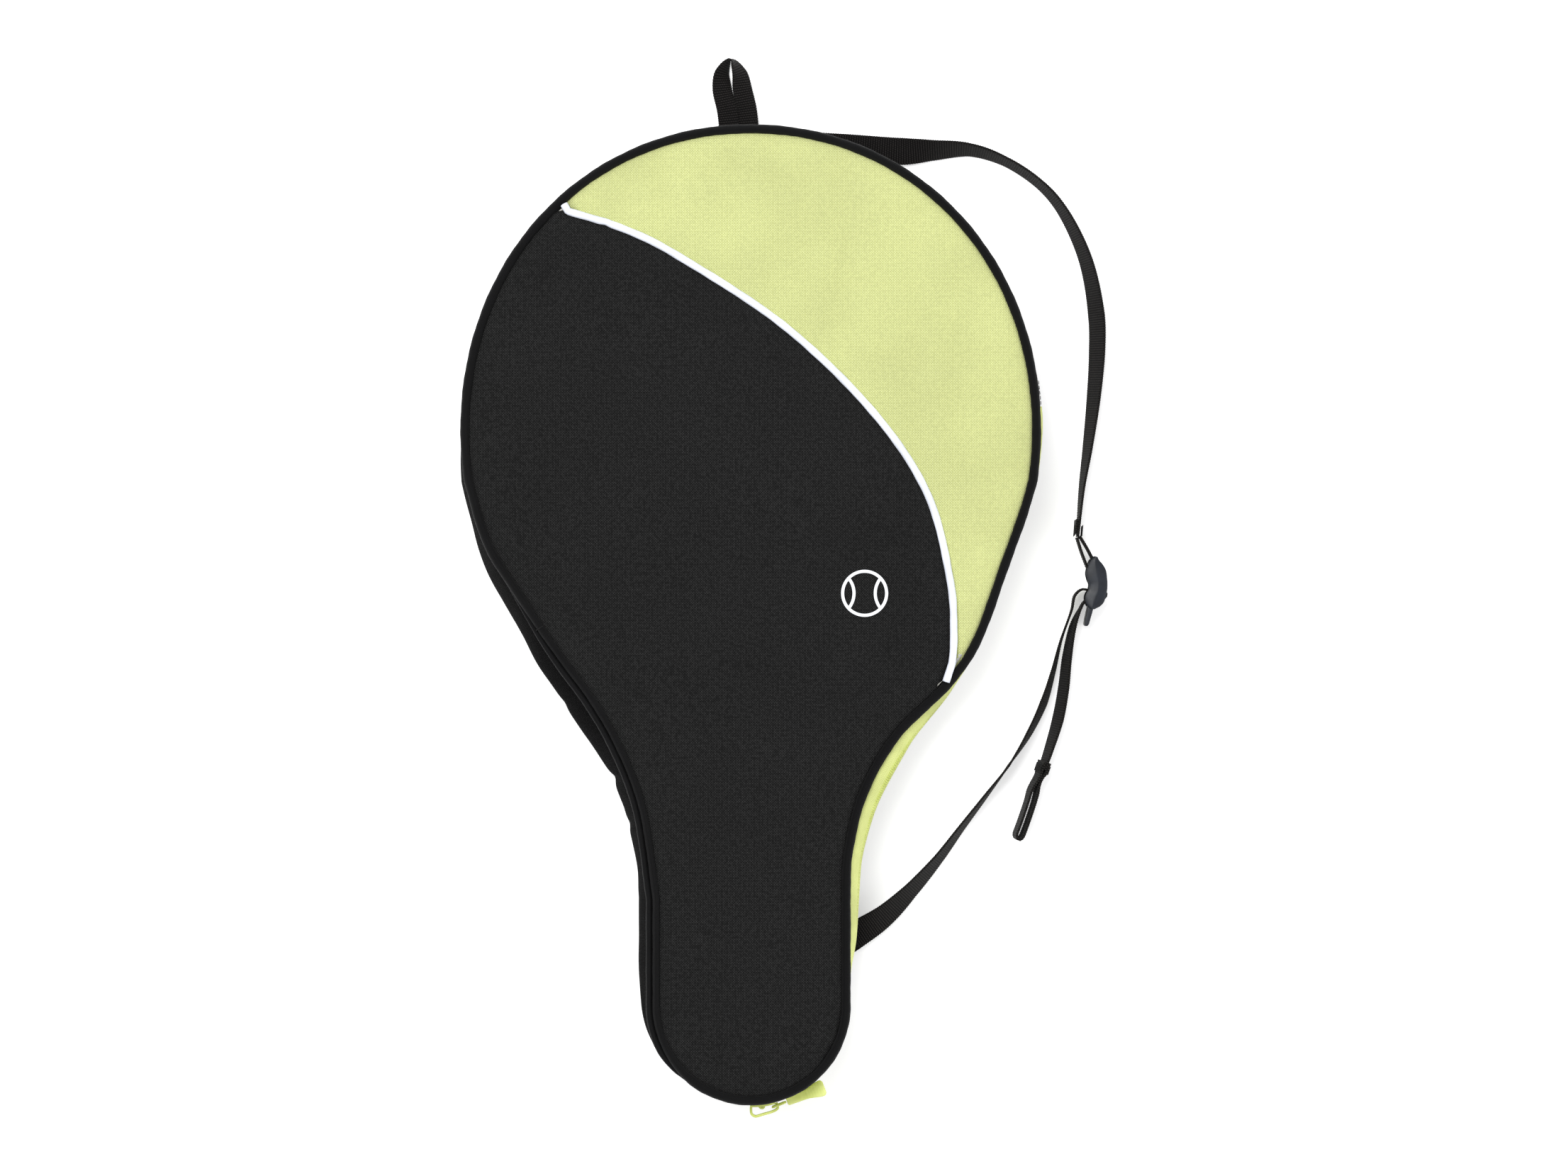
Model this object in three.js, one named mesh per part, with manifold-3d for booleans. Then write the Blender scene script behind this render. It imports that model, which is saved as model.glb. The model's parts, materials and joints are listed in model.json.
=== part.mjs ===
// Padded racket case, lying on its back: a flat rear panel, an upright gusset, a two-colour
// front panel, a curved zip down the right side and a webbing shoulder strap.
// Millimetres. +X is to the right, +Y towards the hang loop, +Z out of the front panel.
import * as THREE from "three";
import { mergeVertices } from "three/addons/utils/BufferGeometryUtils.js";
import Module from "manifold-3d";

const wasm = await Module();
wasm.setup();

// ---------------------------------------------------------------- driving dimensions
const CASE_LENGTH = 500; // over the edge piping, handle end to hang-loop end
const CASE_DEPTH = 50; // rear face to front face
const HEAD_HALF_WIDTH = 148;
const HEAD_HALF_LENGTH = 156;
const HEAD_FULLNESS = 2.06; // 2 would be an ellipse, and more is fuller at the shoulders
const HANDLE_RADIUS = 51; // the round end, and half the width of the handle
const HANDLE_TOP = 105; // where the straight sides of the handle stop
const GAP = 0.3; // between pieces that touch

const FABRIC = 0.8;
const FOAM = 3.5;
const LINING = 0.5;
const GUSSET = 1.2; // gusset fabric with its lining
const PIPING_RADIUS = 2.3; // black edge piping
const SEAM_PIPING_RADIUS = 1.9; // white piping between the two front colours

const ZIP_LENGTH = 418; // measured along the outline from the slider's end
const ZIP_START = -6; // the zip starts this far left of the bottom centre
const ZIP_HEIGHT = 36; // height of the middle of the zip
const TAPE = 0.6;
const COIL_WIDTH = 2.5;
const COIL_THICKNESS = 2.4;
const COIL_SPLIT = 1.0; // between the front and the rear coil

const STRAP_WIDTH = 15;
const STRAP_THICKNESS = 1.3;
const LOOP_WIDTH = 10; // webbing of the hang loop

// The flap is the part of the front panel that folds up when the zip is open.
const FLAP_START = -47.5; // along the outline, left of the bottom centre

const Z = new THREE.Vector3(0, 0, 1);
const HEAD_CENTRE = CASE_LENGTH - HEAD_HALF_LENGTH;
const EDGE = 2 * PIPING_RADIUS + GAP; // the panels stop this far inside the piping's outer edge

// ---------------------------------------------------------------- colours
const MATERIALS = {
  black_fabric: { color: 0x1e1e20, roughness: 0.92, metalness: 0 },
  lime_fabric: { color: 0xdae38c, roughness: 0.9, metalness: 0 },
  white_fabric: { color: 0xf0f3fc, roughness: 0.75, metalness: 0 },
  black_twill: { color: 0x232326, roughness: 0.85, metalness: 0 },
  webbing: { color: 0x211d1c, roughness: 0.88, metalness: 0 },
  lime_tape: { color: 0xd9e283, roughness: 0.85, metalness: 0 },
  lime_metal: { color: 0xcfda78, roughness: 0.4, metalness: 0.3 },
  lime_rubber: { color: 0xdbe48b, roughness: 0.6, metalness: 0 },
  buckle: { color: 0x262c38, roughness: 0.45, metalness: 0 },
  foam: { color: 0xd6d6d2, roughness: 1, metalness: 0 },
  lining: { color: 0x34363b, roughness: 0.95, metalness: 0 },
  print: { color: 0xf2f3f5, roughness: 0.7, metalness: 0 },
};

const group = new THREE.Group();

function addPiece(name, geometry, slot) {
  const mesh = new THREE.Mesh(geometry, new THREE.MeshStandardMaterial(MATERIALS[slot]));
  mesh.name = name;
  group.add(mesh);
}

// ---------------------------------------------------------------- the outline
const RIGHT_FLANK = [
  [52, 128],
  [59.5, 158],
  [76, 187],
  [102, 213],
  [117.5, 236],
  [131.5, 274],
  [141, 300.5],
];
const LEFT_FLANK = [
  [-136.5, 286],
  [-121, 260],
  [-102, 231],
  [-81, 202],
  [-66.5, 175],
  [-57, 147],
];
const FLANK_ANGLE = 9; // degrees that the head's curve runs on below its widest place
const HEAD_STEP = 6; // degrees between the points of the head's curve

// A place on the head, at an angle in degrees from the right.
function onHead(degrees) {
  const angle = THREE.MathUtils.degToRad(degrees);
  const full = (value) => Math.sign(value) * Math.abs(value) ** (2 / HEAD_FULLNESS);
  const x = HEAD_HALF_WIDTH * full(Math.cos(angle));
  return new THREE.Vector2(x, HEAD_CENTRE + HEAD_HALF_LENGTH * full(Math.sin(angle)));
}

function caseOutline() {
  const r = HANDLE_RADIUS;
  const quarter = Math.PI / 2;
  const right = RIGHT_FLANK.map(([x, y]) => new THREE.Vector2(x, y));
  const left = LEFT_FLANK.map(([x, y]) => new THREE.Vector2(x, y));
  const head = [];
  for (let angle = -FLANK_ANGLE; angle <= 180 + FLANK_ANGLE; angle += HEAD_STEP) {
    head.push(onHead(angle));
  }
  const path = new THREE.Path();
  path.absarc(0, r, r, -quarter, 0);
  path.lineTo(r, HANDLE_TOP);
  path.splineThru([...right, head[0]]);
  path.splineThru(head.slice(1));
  path.splineThru([...left, new THREE.Vector2(-r, HANDLE_TOP)]);
  path.lineTo(-r, r);
  path.absarc(0, r, r, 2 * quarter, 3 * quarter);
  return path;
}

const outline = caseOutline();
const OUTLINE_LENGTH = outline.getLength();

// The place s millimetres along the outline from the bottom centre, anticlockwise.
function alongOutline(s) {
  const t = THREE.MathUtils.euclideanModulo(s, OUTLINE_LENGTH) / OUTLINE_LENGTH;
  const point = outline.getPoint(t);
  const tangent = outline.getTangent(THREE.MathUtils.clamp(t, 0.0002, 0.9998));
  return { point, outward: new THREE.Vector2(tangent.y, -tangent.x) };
}

// The outline moved outwards by some millimetres, or inwards when negative.
function movedOutline(offset, count = 120) {
  const points = [];
  for (let i = 0; i < count; i++) {
    const { point, outward } = alongOutline((i / count) * OUTLINE_LENGTH);
    points.push(point.addScaledVector(outward, offset));
  }
  return new THREE.Shape(points);
}

// ---------------------------------------------------------------- solids
function toSolid(geometry) {
  const bare = new THREE.BufferGeometry();
  const open = geometry.index ? geometry.toNonIndexed() : geometry;
  bare.setAttribute("position", open.getAttribute("position"));
  const merged = mergeVertices(bare, 1e-4);
  return new wasm.Manifold(
    new wasm.Mesh({
      numProp: 3,
      vertProperties: merged.attributes.position.array,
      triVerts: new Uint32Array(merged.index.array),
    }),
  );
}

function toGeometry(solid) {
  const mesh = solid.getMesh();
  const geometry = new THREE.BufferGeometry();
  geometry.setAttribute("position", new THREE.BufferAttribute(mesh.vertProperties, 3));
  geometry.setIndex(new THREE.BufferAttribute(mesh.triVerts, 1));
  return geometry;
}

// A flat shape between two heights.
function plate(shape, low, high, curveSegments = 12) {
  const geometry = new THREE.ExtrudeGeometry(shape, {
    depth: high - low,
    bevelEnabled: false,
    curveSegments,
  });
  return geometry.translate(0, 0, low);
}

function rectangle(x0, x1, y0, y1) {
  const shape = new THREE.Shape();
  shape.moveTo(x0, y0);
  shape.lineTo(x1, y0);
  shape.lineTo(x1, y1);
  shape.lineTo(x0, y1);
  return shape;
}

function polygon(points) {
  return new THREE.Shape(points.map(([x, y]) => new THREE.Vector2(x, y)));
}

function roundSection(x, y, radius) {
  const shape = new THREE.Shape();
  shape.absarc(x, y, radius, 0, 2 * Math.PI);
  return shape;
}

// A straight bar of the given section whose every slice is then moved onto a route.
// place(t) gives the slice's point and the directions its x and y run in.
function sweep(section, steps, place, curveSegments = 4) {
  const bar = new THREE.ExtrudeGeometry(section, {
    depth: 1,
    steps,
    bevelEnabled: false,
    curveSegments,
  });
  const position = bar.attributes.position;
  const moved = new THREE.Vector3();
  for (let i = 0; i < position.count; i++) {
    const { point, across, up } = place(position.getZ(i));
    moved.copy(point);
    moved.addScaledVector(across, position.getX(i));
    moved.addScaledVector(up, position.getY(i));
    position.setXYZ(i, moved.x, moved.y, moved.z);
  }
  return bar;
}

// A band that follows the outline from one place to another. Its section's x is measured
// outwards from the outline and its y is the height.
function outlineBand(section, from, to, curveSegments = 2) {
  const steps = Math.max(1, Math.round((to - from) / 12));
  const place = (t) => {
    const { point, outward } = alongOutline(to + (from - to) * t);
    return {
      point: new THREE.Vector3(point.x, point.y, 0),
      across: new THREE.Vector3(outward.x, outward.y, 0),
      up: Z,
    };
  };
  return sweep(section, steps, place, curveSegments);
}

// ---------------------------------------------------------------- the fold of the flap
const flapTop = alongOutline(ZIP_START + ZIP_LENGTH).point;
const flapBottom = alongOutline(FLAP_START).point;

// Everything on the flap's side of its fold line, moved sideways by an amount.
function flapSide(shift) {
  const size = 3 * CASE_LENGTH;
  const along = new THREE.Vector2().subVectors(flapTop, flapBottom);
  const box = new THREE.BoxGeometry(size, size, size);
  box.translate(size / 2 - shift, 0, 0);
  box.rotateZ(along.angle() - Math.PI / 2);
  box.translate(flapBottom.x, flapBottom.y, 0);
  return toSolid(box);
}

const flapHalf = flapSide(-GAP / 2);
const flapHalfAndGap = flapSide(GAP / 2);

// Cuts a piece of the front at the fold and adds both parts.
function addFolded(fixedName, flapName, solid, slot) {
  addPiece(fixedName, toGeometry(solid.subtract(flapHalfAndGap)), slot);
  addPiece(flapName, toGeometry(solid.intersect(flapHalf)), slot);
}

// ---------------------------------------------------------------- rear
function addRear() {
  const panel = movedOutline(-EDGE);
  const inner = movedOutline(-EDGE - 1);
  const foamLow = FABRIC + GAP;
  const liningLow = foamLow + FOAM + GAP;
  addPiece("rear_panel", plate(panel, 0, FABRIC), "black_fabric");
  addPiece("rear_foam", plate(inner, foamLow, foamLow + FOAM), "foam");
  addPiece("rear_lining", plate(inner, liningLow, liningLow + LINING), "lining");
  const piping = roundSection(-PIPING_RADIUS, PIPING_RADIUS, PIPING_RADIUS);
  const joint = OUTLINE_LENGTH - 260; // the piping's two ends meet here
  addPiece(
    "rear_edge_piping",
    outlineBand(piping, joint - OUTLINE_LENGTH + GAP, joint, 4),
    "black_twill",
  );
  const bindingLow = liningLow + LINING + GAP;
  const binding = rectangle(-6.5, -3.5, bindingLow, bindingLow + 1.8);
  addPiece(
    "rear_seam_binding",
    outlineBand(binding, joint - OUTLINE_LENGTH + GAP, joint),
    "black_twill",
  );
}

// ---------------------------------------------------------------- gusset and zip
const WALL_OUTSIDE = -1.5; // the gusset stands this far inside the piping's outer edge
const WALL_LOW = 2 * PIPING_RADIUS + GAP;
const WALL_HIGH = CASE_DEPTH - 2 * PIPING_RADIUS - GAP;
const ZIP_END = ZIP_START + ZIP_LENGTH;
const REAR_TAPE_LOW = 21.3;

function addGusset() {
  const wall = rectangle(WALL_OUTSIDE - GUSSET, WALL_OUTSIDE, WALL_LOW, WALL_HIGH);
  const wallEnd = OUTLINE_LENGTH + ZIP_START - GAP;
  addPiece("gusset_wall", outlineBand(wall, ZIP_END + GAP, wallEnd), "black_fabric");
  const strip = rectangle(
    WALL_OUTSIDE - GUSSET, WALL_OUTSIDE, WALL_LOW, REAR_TAPE_LOW - GAP,
  );
  addPiece("gusset_zip_side", outlineBand(strip, ZIP_START, ZIP_END), "black_fabric");
  const tab = rectangle(WALL_OUTSIDE + GAP, WALL_OUTSIDE + GAP + 1.2, 26, WALL_HIGH);
  addPiece("zip_end_tab", outlineBand(tab, ZIP_END + 1, ZIP_END + 15), "black_fabric");
}

function addZip() {
  const rearCoilHigh = ZIP_HEIGHT - COIL_SPLIT / 2;
  const rearCoilLow = rearCoilHigh - COIL_WIDTH;
  const frontCoilLow = ZIP_HEIGHT + COIL_SPLIT / 2;
  const frontCoilHigh = frontCoilLow + COIL_WIDTH;
  const tapeMiddle = WALL_OUTSIDE - TAPE / 2;
  const coilIn = tapeMiddle - COIL_THICKNESS / 2;
  const coilOut = tapeMiddle + COIL_THICKNESS / 2;
  const stopFrom = ZIP_START + 2.6;
  const coilFrom = ZIP_START + 5.1;
  const coilTo = ZIP_END - 3.5;

  const rearTape = rectangle(WALL_OUTSIDE - TAPE, WALL_OUTSIDE, REAR_TAPE_LOW, rearCoilLow - GAP);
  addPiece("zip_tape_rear", outlineBand(rearTape, ZIP_START, ZIP_END), "lime_tape");
  const frontTape = rectangle(WALL_OUTSIDE - TAPE, WALL_OUTSIDE, frontCoilHigh + GAP, WALL_HIGH);
  addPiece("zip_tape_front", outlineBand(frontTape, ZIP_START, ZIP_END), "lime_tape");

  const rearCoil = rectangle(coilIn, coilOut, rearCoilLow, rearCoilHigh);
  const frontCoil = rectangle(coilIn, coilOut, frontCoilLow, frontCoilHigh);
  addPiece("zip_coil_rear", outlineBand(rearCoil, coilFrom, coilTo), "lime_tape");
  addPiece("zip_coil_front", outlineBand(frontCoil, coilFrom, coilTo), "lime_tape");
  addPiece("zip_stop_rear", outlineBand(rearCoil, stopFrom, coilFrom - GAP), "lime_metal");
  addPiece("zip_stop_front", outlineBand(frontCoil, stopFrom, coilFrom - GAP), "lime_metal");

  const endStop = rectangle(coilIn, coilOut, rearCoilLow, frontCoilHigh);
  addPiece("zip_end_stop", outlineBand(endStop, coilTo + GAP, ZIP_END - 1), "lime_metal");
}

// ---------------------------------------------------------------- front
// The white seam, from the upper left of the head to the right shoulder.
const SEAM_ROUTE = [
  [-93, 455.5],
  [-64, 446.3],
  [-36, 432.2],
  [17, 397.2],
  [62, 353.7],
  [89.8, 312],
  [101.5, 268],
  [103.4, 240],
  [102.6, 225.5],
];

function seamCurve() {
  return new THREE.SplineCurve(SEAM_ROUTE.map(([x, y]) => new THREE.Vector2(x, y)));
}

// A region whose one side is the seam moved sideways and whose other side is far away.
function besideSeam(offset, farCorners) {
  const curve = seamCurve();
  const count = 24;
  const points = [];
  for (let i = 0; i <= count; i++) {
    const tangent = curve.getTangentAt(i / count);
    const side = new THREE.Vector2(-tangent.y, tangent.x);
    points.push(curve.getPointAt(i / count).addScaledVector(side, offset));
  }
  const first = points[0];
  const last = points[count];
  const beyondStart = new THREE.Vector2(first.x - 60, first.y + 25);
  const beyondEnd = new THREE.Vector2(last.x - 4, last.y - 60);
  const corners = farCorners.map(([x, y]) => new THREE.Vector2(x, y));
  return new THREE.Shape([beyondStart, ...points, beyondEnd, ...corners]);
}

function addFront() {
  const channel = SEAM_PIPING_RADIUS + GAP;
  const fabric = toSolid(plate(movedOutline(-EDGE), CASE_DEPTH - FABRIC, CASE_DEPTH));
  const upperRight = besideSeam(channel, [[400, 100], [400, 700], [-153, 700]]);
  const lowerLeft = besideSeam(-channel, [[97, -100], [-400, -100], [-400, 480]]);
  const low = CASE_DEPTH - 5;
  const high = CASE_DEPTH + 5;
  const lime = fabric.intersect(toSolid(plate(upperRight, low, high)));
  const black = fabric.intersect(toSolid(plate(lowerLeft, low, high)));
  addFolded("front_panel_lime", "flap_panel_lime", lime, "lime_fabric");
  addFolded("front_panel_black", "flap_panel_black", black, "black_fabric");

  const inner = movedOutline(-EDGE - 1);
  const foamHigh = CASE_DEPTH - FABRIC - GAP;
  const foamLow = foamHigh - FOAM;
  const foam = toSolid(plate(inner, foamLow, foamHigh));
  const lining = toSolid(plate(inner, foamLow - GAP - LINING, foamLow - GAP));
  addFolded("front_foam", "flap_foam", foam, "foam");
  addFolded("front_lining", "flap_lining", lining, "lining");
  addSeamPiping();
  addFrontEdges(foamLow - GAP - LINING - GAP);
}

function addSeamPiping() {
  const curve = seamCurve();
  const height = CASE_DEPTH - FABRIC + SEAM_PIPING_RADIUS;
  const place = (t) => {
    const point = curve.getPointAt(t);
    const tangent = curve.getTangentAt(t);
    return {
      point: new THREE.Vector3(point.x, point.y, height),
      across: new THREE.Vector3(-tangent.y, tangent.x, 0),
      up: Z,
    };
  };
  const tube = sweep(roundSection(0, 0, SEAM_PIPING_RADIUS), 32, place, 4);
  addFolded("seam_piping", "flap_seam_piping", toSolid(tube), "white_fabric");
}

// Edge piping and the binding of the seam allowance inside it, on both sides of the fold.
function addFrontEdges(bindingHigh) {
  const pipingHeight = CASE_DEPTH - PIPING_RADIUS;
  const piping = roundSection(-PIPING_RADIUS, pipingHeight, PIPING_RADIUS);
  const binding = rectangle(-6.5, -3.5, bindingHigh - 1.8, bindingHigh);
  const fixed = [ZIP_END + GAP / 2, OUTLINE_LENGTH + FLAP_START - GAP / 2];
  const flap = [FLAP_START + GAP / 2, ZIP_END - GAP / 2];
  addPiece("front_edge_piping", outlineBand(piping, ...fixed, 4), "black_twill");
  addPiece("flap_edge_piping", outlineBand(piping, ...flap, 4), "black_twill");
  addPiece("front_seam_binding", outlineBand(binding, fixed[0] + 6, fixed[1] - 6), "black_twill");
  addPiece("flap_seam_binding", outlineBand(binding, flap[0] + 6, flap[1] - 6), "black_twill");
}

// A plain ball with two seam lines, printed on the black panel.
function addBallMark() {
  const centre = new THREE.Vector2(58, 261);
  const radius = 12;
  const line = 1.6;
  const low = CASE_DEPTH + 0.1;
  const high = low + 0.3;
  const ring = new THREE.Shape();
  ring.absarc(centre.x, centre.y, radius, 0, 2 * Math.PI);
  const hole = new THREE.Path();
  hole.absarc(centre.x, centre.y, radius - line, 0, 2 * Math.PI, true);
  ring.holes.push(hole);
  const disc = toSolid(plate(roundSection(centre.x, centre.y, radius - line / 2), low, high, 24));
  let mark = toSolid(plate(ring, low, high, 24));
  for (const side of [-1, 1]) {
    const seamCentre = centre.x + side * 1.45 * radius;
    const seam = new THREE.Shape();
    seam.absarc(seamCentre, centre.y, radius + line / 2, 0, 2 * Math.PI);
    const inside = new THREE.Path();
    inside.absarc(seamCentre, centre.y, radius - line / 2, 0, 2 * Math.PI, true);
    seam.holes.push(inside);
    mark = mark.add(toSolid(plate(seam, low, high, 24)).intersect(disc));
  }
  addPiece("ball_mark", toGeometry(mark), "print");
}

// ---------------------------------------------------------------- slider and puller
const SLIDER_ANGLE = THREE.MathUtils.degToRad(-83.2); // seen from the centre of the round end
const SLIDER_HALF_SPAN = THREE.MathUtils.degToRad(7.3);
const SLIDER_HALF_HEIGHT = 4;
const PIVOT = new THREE.Vector2(11.2, -1.75); // the puller's pin, inside the bridge
const PULLER_ANGLE = THREE.MathUtils.degToRad(21.2);

// A piece of a ring about the centre of the round end, between two distances from the outline.
function arcPiece(inside, outside, halfSpan, halfHeight) {
  const inner = HANDLE_RADIUS + inside;
  const outer = HANDLE_RADIUS + outside;
  const from = SLIDER_ANGLE - halfSpan;
  const to = SLIDER_ANGLE + halfSpan;
  const shape = new THREE.Shape();
  shape.absarc(0, HANDLE_RADIUS, outer, from, to);
  shape.absarc(0, HANDLE_RADIUS, inner, to, from, true);
  return toSolid(plate(shape, ZIP_HEIGHT - halfHeight, ZIP_HEIGHT + halfHeight, 5));
}

function addSlider() {
  const outerPlate = arcPiece(0.3, 1.6, SLIDER_HALF_SPAN, SLIDER_HALF_HEIGHT);
  const innerPlate = arcPiece(-5, -3.7, SLIDER_HALF_SPAN, SLIDER_HALF_HEIGHT);
  const post = arcPiece(-3.9, 0.5, THREE.MathUtils.degToRad(2), COIL_SPLIT / 2 - 0.2);
  const bridge = polygon([
    [-0.5, -1.2], [-0.4, -5], [1.8, -7], [3.2, -7], [10.8, -4.9], [14.6, -2.6], [13.6, 0.6],
  ]);
  bridge.holes.push(
    polygon([[0.9, -1.8], [12.4, -0.4], [13, -1.9], [10.2, -3.6], [3, -5.6], [2.2, -5.6], [1.1, -4.6]]),
  );
  const arch = toSolid(plate(bridge, ZIP_HEIGHT - 1.5, ZIP_HEIGHT + 1.5));
  // The arch stands on the outer plate and does not reach through it to the coils.
  const throughPlate = arcPiece(-8, 0.6, 3 * SLIDER_HALF_SPAN, 2 * SLIDER_HALF_HEIGHT);
  const body = outerPlate.add(innerPlate).add(post).add(arch.subtract(throughPlate));
  addPiece("zip_slider", toGeometry(body), "lime_metal");
}

// Shapes of the puller are drawn from its pivot along +X, then turned to their rest angle.
function placePuller(geometry) {
  geometry.rotateZ(PULLER_ANGLE);
  return geometry.translate(PIVOT.x, PIVOT.y, ZIP_HEIGHT);
}

function addPuller() {
  const bar = 1.2;
  const inside = 1.9; // half the clear height inside the link
  const end = 7.5;
  const loop = rectangle(-bar / 2, end, -inside - 0.8, inside + 0.8);
  loop.holes.push(rectangle(bar / 2, end - bar, -inside, inside));
  const link = new THREE.ExtrudeGeometry(loop, { depth: bar, bevelEnabled: false });
  link.translate(0, 0, -bar / 2);
  link.rotateX(Math.PI / 2);
  addPiece("puller_link", placePuller(link), "lime_metal");

  const start = end + GAP;
  const length = 20.6;
  const narrow = 2.25;
  const wide = 4.25;
  const grip = new THREE.Shape();
  grip.moveTo(start, -narrow);
  grip.quadraticCurveTo(start + 0.6 * length, -narrow - 0.2, start + length - 2.5, -wide);
  grip.quadraticCurveTo(start + length, -wide + 0.5, start + length, 0);
  grip.quadraticCurveTo(start + length, wide - 0.5, start + length - 2.5, wide);
  grip.quadraticCurveTo(start + 0.6 * length, narrow + 0.2, start, narrow);
  addPiece("puller_grip", placePuller(plate(grip, -1.6, 1.6, 5)), "lime_rubber");
}

// ---------------------------------------------------------------- webbing
// A flat band along a route of [x, y, lift, roll]. Lift is how far the band's lower edge is
// above the floor. Roll is in degrees: 0 lies flat and 90 stands on edge.
function ribbon(route, width, thickness, steps) {
  const middle = new THREE.CatmullRomCurve3(
    route.map(([x, y, lift, roll]) => {
      const lean = THREE.MathUtils.degToRad(roll);
      const low = (width * Math.abs(Math.sin(lean)) + thickness * Math.abs(Math.cos(lean))) / 2;
      return new THREE.Vector3(x, y, lift + low);
    }),
    false,
    "centripetal",
  );
  const rollAt = (t) => {
    const spot = t * (route.length - 1);
    const i = Math.min(Math.floor(spot), route.length - 2);
    return THREE.MathUtils.lerp(route[i][3], route[i + 1][3], spot - i);
  };
  const place = (t) => {
    const tangent = middle.getTangent(t);
    const flat = new THREE.Vector3().crossVectors(tangent, Z).normalize();
    const across = flat.applyAxisAngle(tangent, THREE.MathUtils.degToRad(rollAt(t)));
    const up = new THREE.Vector3().crossVectors(tangent, across);
    return { point: middle.getPoint(t), across, up };
  };
  const section = rectangle(-width / 2, width / 2, -thickness / 2, thickness / 2);
  return sweep(section, steps, place);
}

// Cuts a webbing end off along the case's outline, a gap away from the piping.
function trimAtCase(geometry) {
  const outside = toSolid(plate(movedOutline(GAP), -5, CASE_DEPTH + 10));
  return toGeometry(toSolid(geometry).subtract(outside));
}

const UPPER_ROUTE = [
  [18, 492.3, 4.6, 4],
  [48, 490.6, 4.4, 10],
  [78.5, 488.9, 3, 24],
  [93, 489.4, 1.4, 48],
  [113, 489.6, 0.6, 69],
  [131, 483.7, 0.5, 77],
  [148.8, 471.9, 0.5, 77],
  [160, 459.1, 0.5, 74],
  [172.3, 433.5, 0.5, 67],
  [178.1, 404.4, 0.5, 59],
  [178.4, 385, 0.5, 60],
  [176.6, 361, 0.5, 66],
  [173.4, 335, 1, 75],
  [170.5, 315, 1.8, 83],
  [168.3, 290.4, 3, 90],
];
const LOWER_ROUTE = [
  [174.4, 262.6, 3, 90],
  [170.3, 262.9, 3, 90],
  [166.8, 259.8, 3, 90],
  [165.2, 252.6, 2.9, 89],
  [159.7, 236.5, 1.8, 86],
  [155.7, 220.4, 0.8, 81],
  [150.8, 204.3, 0.5, 75],
  [143.1, 188.2, 0.5, 79],
  [132.8, 172.1, 0.5, 89],
  [120.8, 156.1, 0.5, 82],
  [108.5, 140, 0.5, 77],
  [96.5, 123.9, 0.8, 70],
  [82.4, 107.8, 1.6, 58],
  [68.5, 94.5, 3, 38],
  [52, 83.5, 4.5, 12],
];
const TAIL_ROUTE = [
  [174.4, 258.2, 3, 90],
  [171.5, 256.4, 3, 90],
  [169.4, 252.6, 2.9, 89],
  [166.1, 244.5, 2.4, 81],
  [163, 228.4, 0.9, 75],
  [161.2, 212.4, 0.6, 72],
  [158.3, 196.3, 0.5, 71],
  [153.5, 180.2, 0.5, 76],
  [150.2, 170.5, 0.5, 79],
];
const TAIL_END_ROUTE = [
  [149.7, 169.2, 0.5, 79],
  [146.4, 162, 0.5, 82],
  [143.8, 153, 0.5, 84],
  [139.9, 141.5, 0.5, 84],
  [137.2, 134.5, 0.5, 84],
];
const HANG_LOOP_ROUTE = [
  [-10.9, 496, 6.3, 0],
  [-12.4, 510, 5.4, 3],
  [-14.9, 521, 3.4, 14],
  [-14.9, 529.5, 1.3, 46],
  [-10.5, 536.2, 0.5, 92],
  [-6.1, 529.5, 1.3, 137],
  [-4.5, 521, 2.8, 165],
  [-2.2, 510, 3.8, 177],
  [-0.8, 496, 4.4, 180],
];

function addWebbing() {
  const thick = STRAP_THICKNESS;
  const upper = ribbon(UPPER_ROUTE, STRAP_WIDTH, thick, 66);
  addPiece("strap_upper", trimAtCase(upper), "webbing");
  const lower = ribbon(LOWER_ROUTE, STRAP_WIDTH, thick, 49);
  addPiece("strap_lower", trimAtCase(lower), "webbing");
  addPiece("strap_tail", ribbon(TAIL_ROUTE, STRAP_WIDTH, thick, 24), "webbing");
  addPiece("strap_tail_fold", ribbon(TAIL_END_ROUTE, STRAP_WIDTH, 3.2, 10), "webbing");
  addPiece("hang_loop", trimAtCase(ribbon(HANG_LOOP_ROUTE, LOOP_WIDTH, 1.2, 48)), "webbing");
}

// ---------------------------------------------------------------- ladder lock
// It stands on its side, so its bars are upright and its side frames lie flat.
const TOP_BAR = new THREE.Vector2(175, 275.5);
const MIDDLE_BAR = new THREE.Vector2(180.6, 260.4);
const BAR_RADIUS = 1.2;
const LOCK_LOW = 0.5;
const LOCK_HIGH = 20.5;
const LOCK_SIDE = 2.1; // thickness of each side frame
const WEB_LOW = 3;
const WEB_HIGH = WEB_LOW + STRAP_WIDTH;

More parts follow.
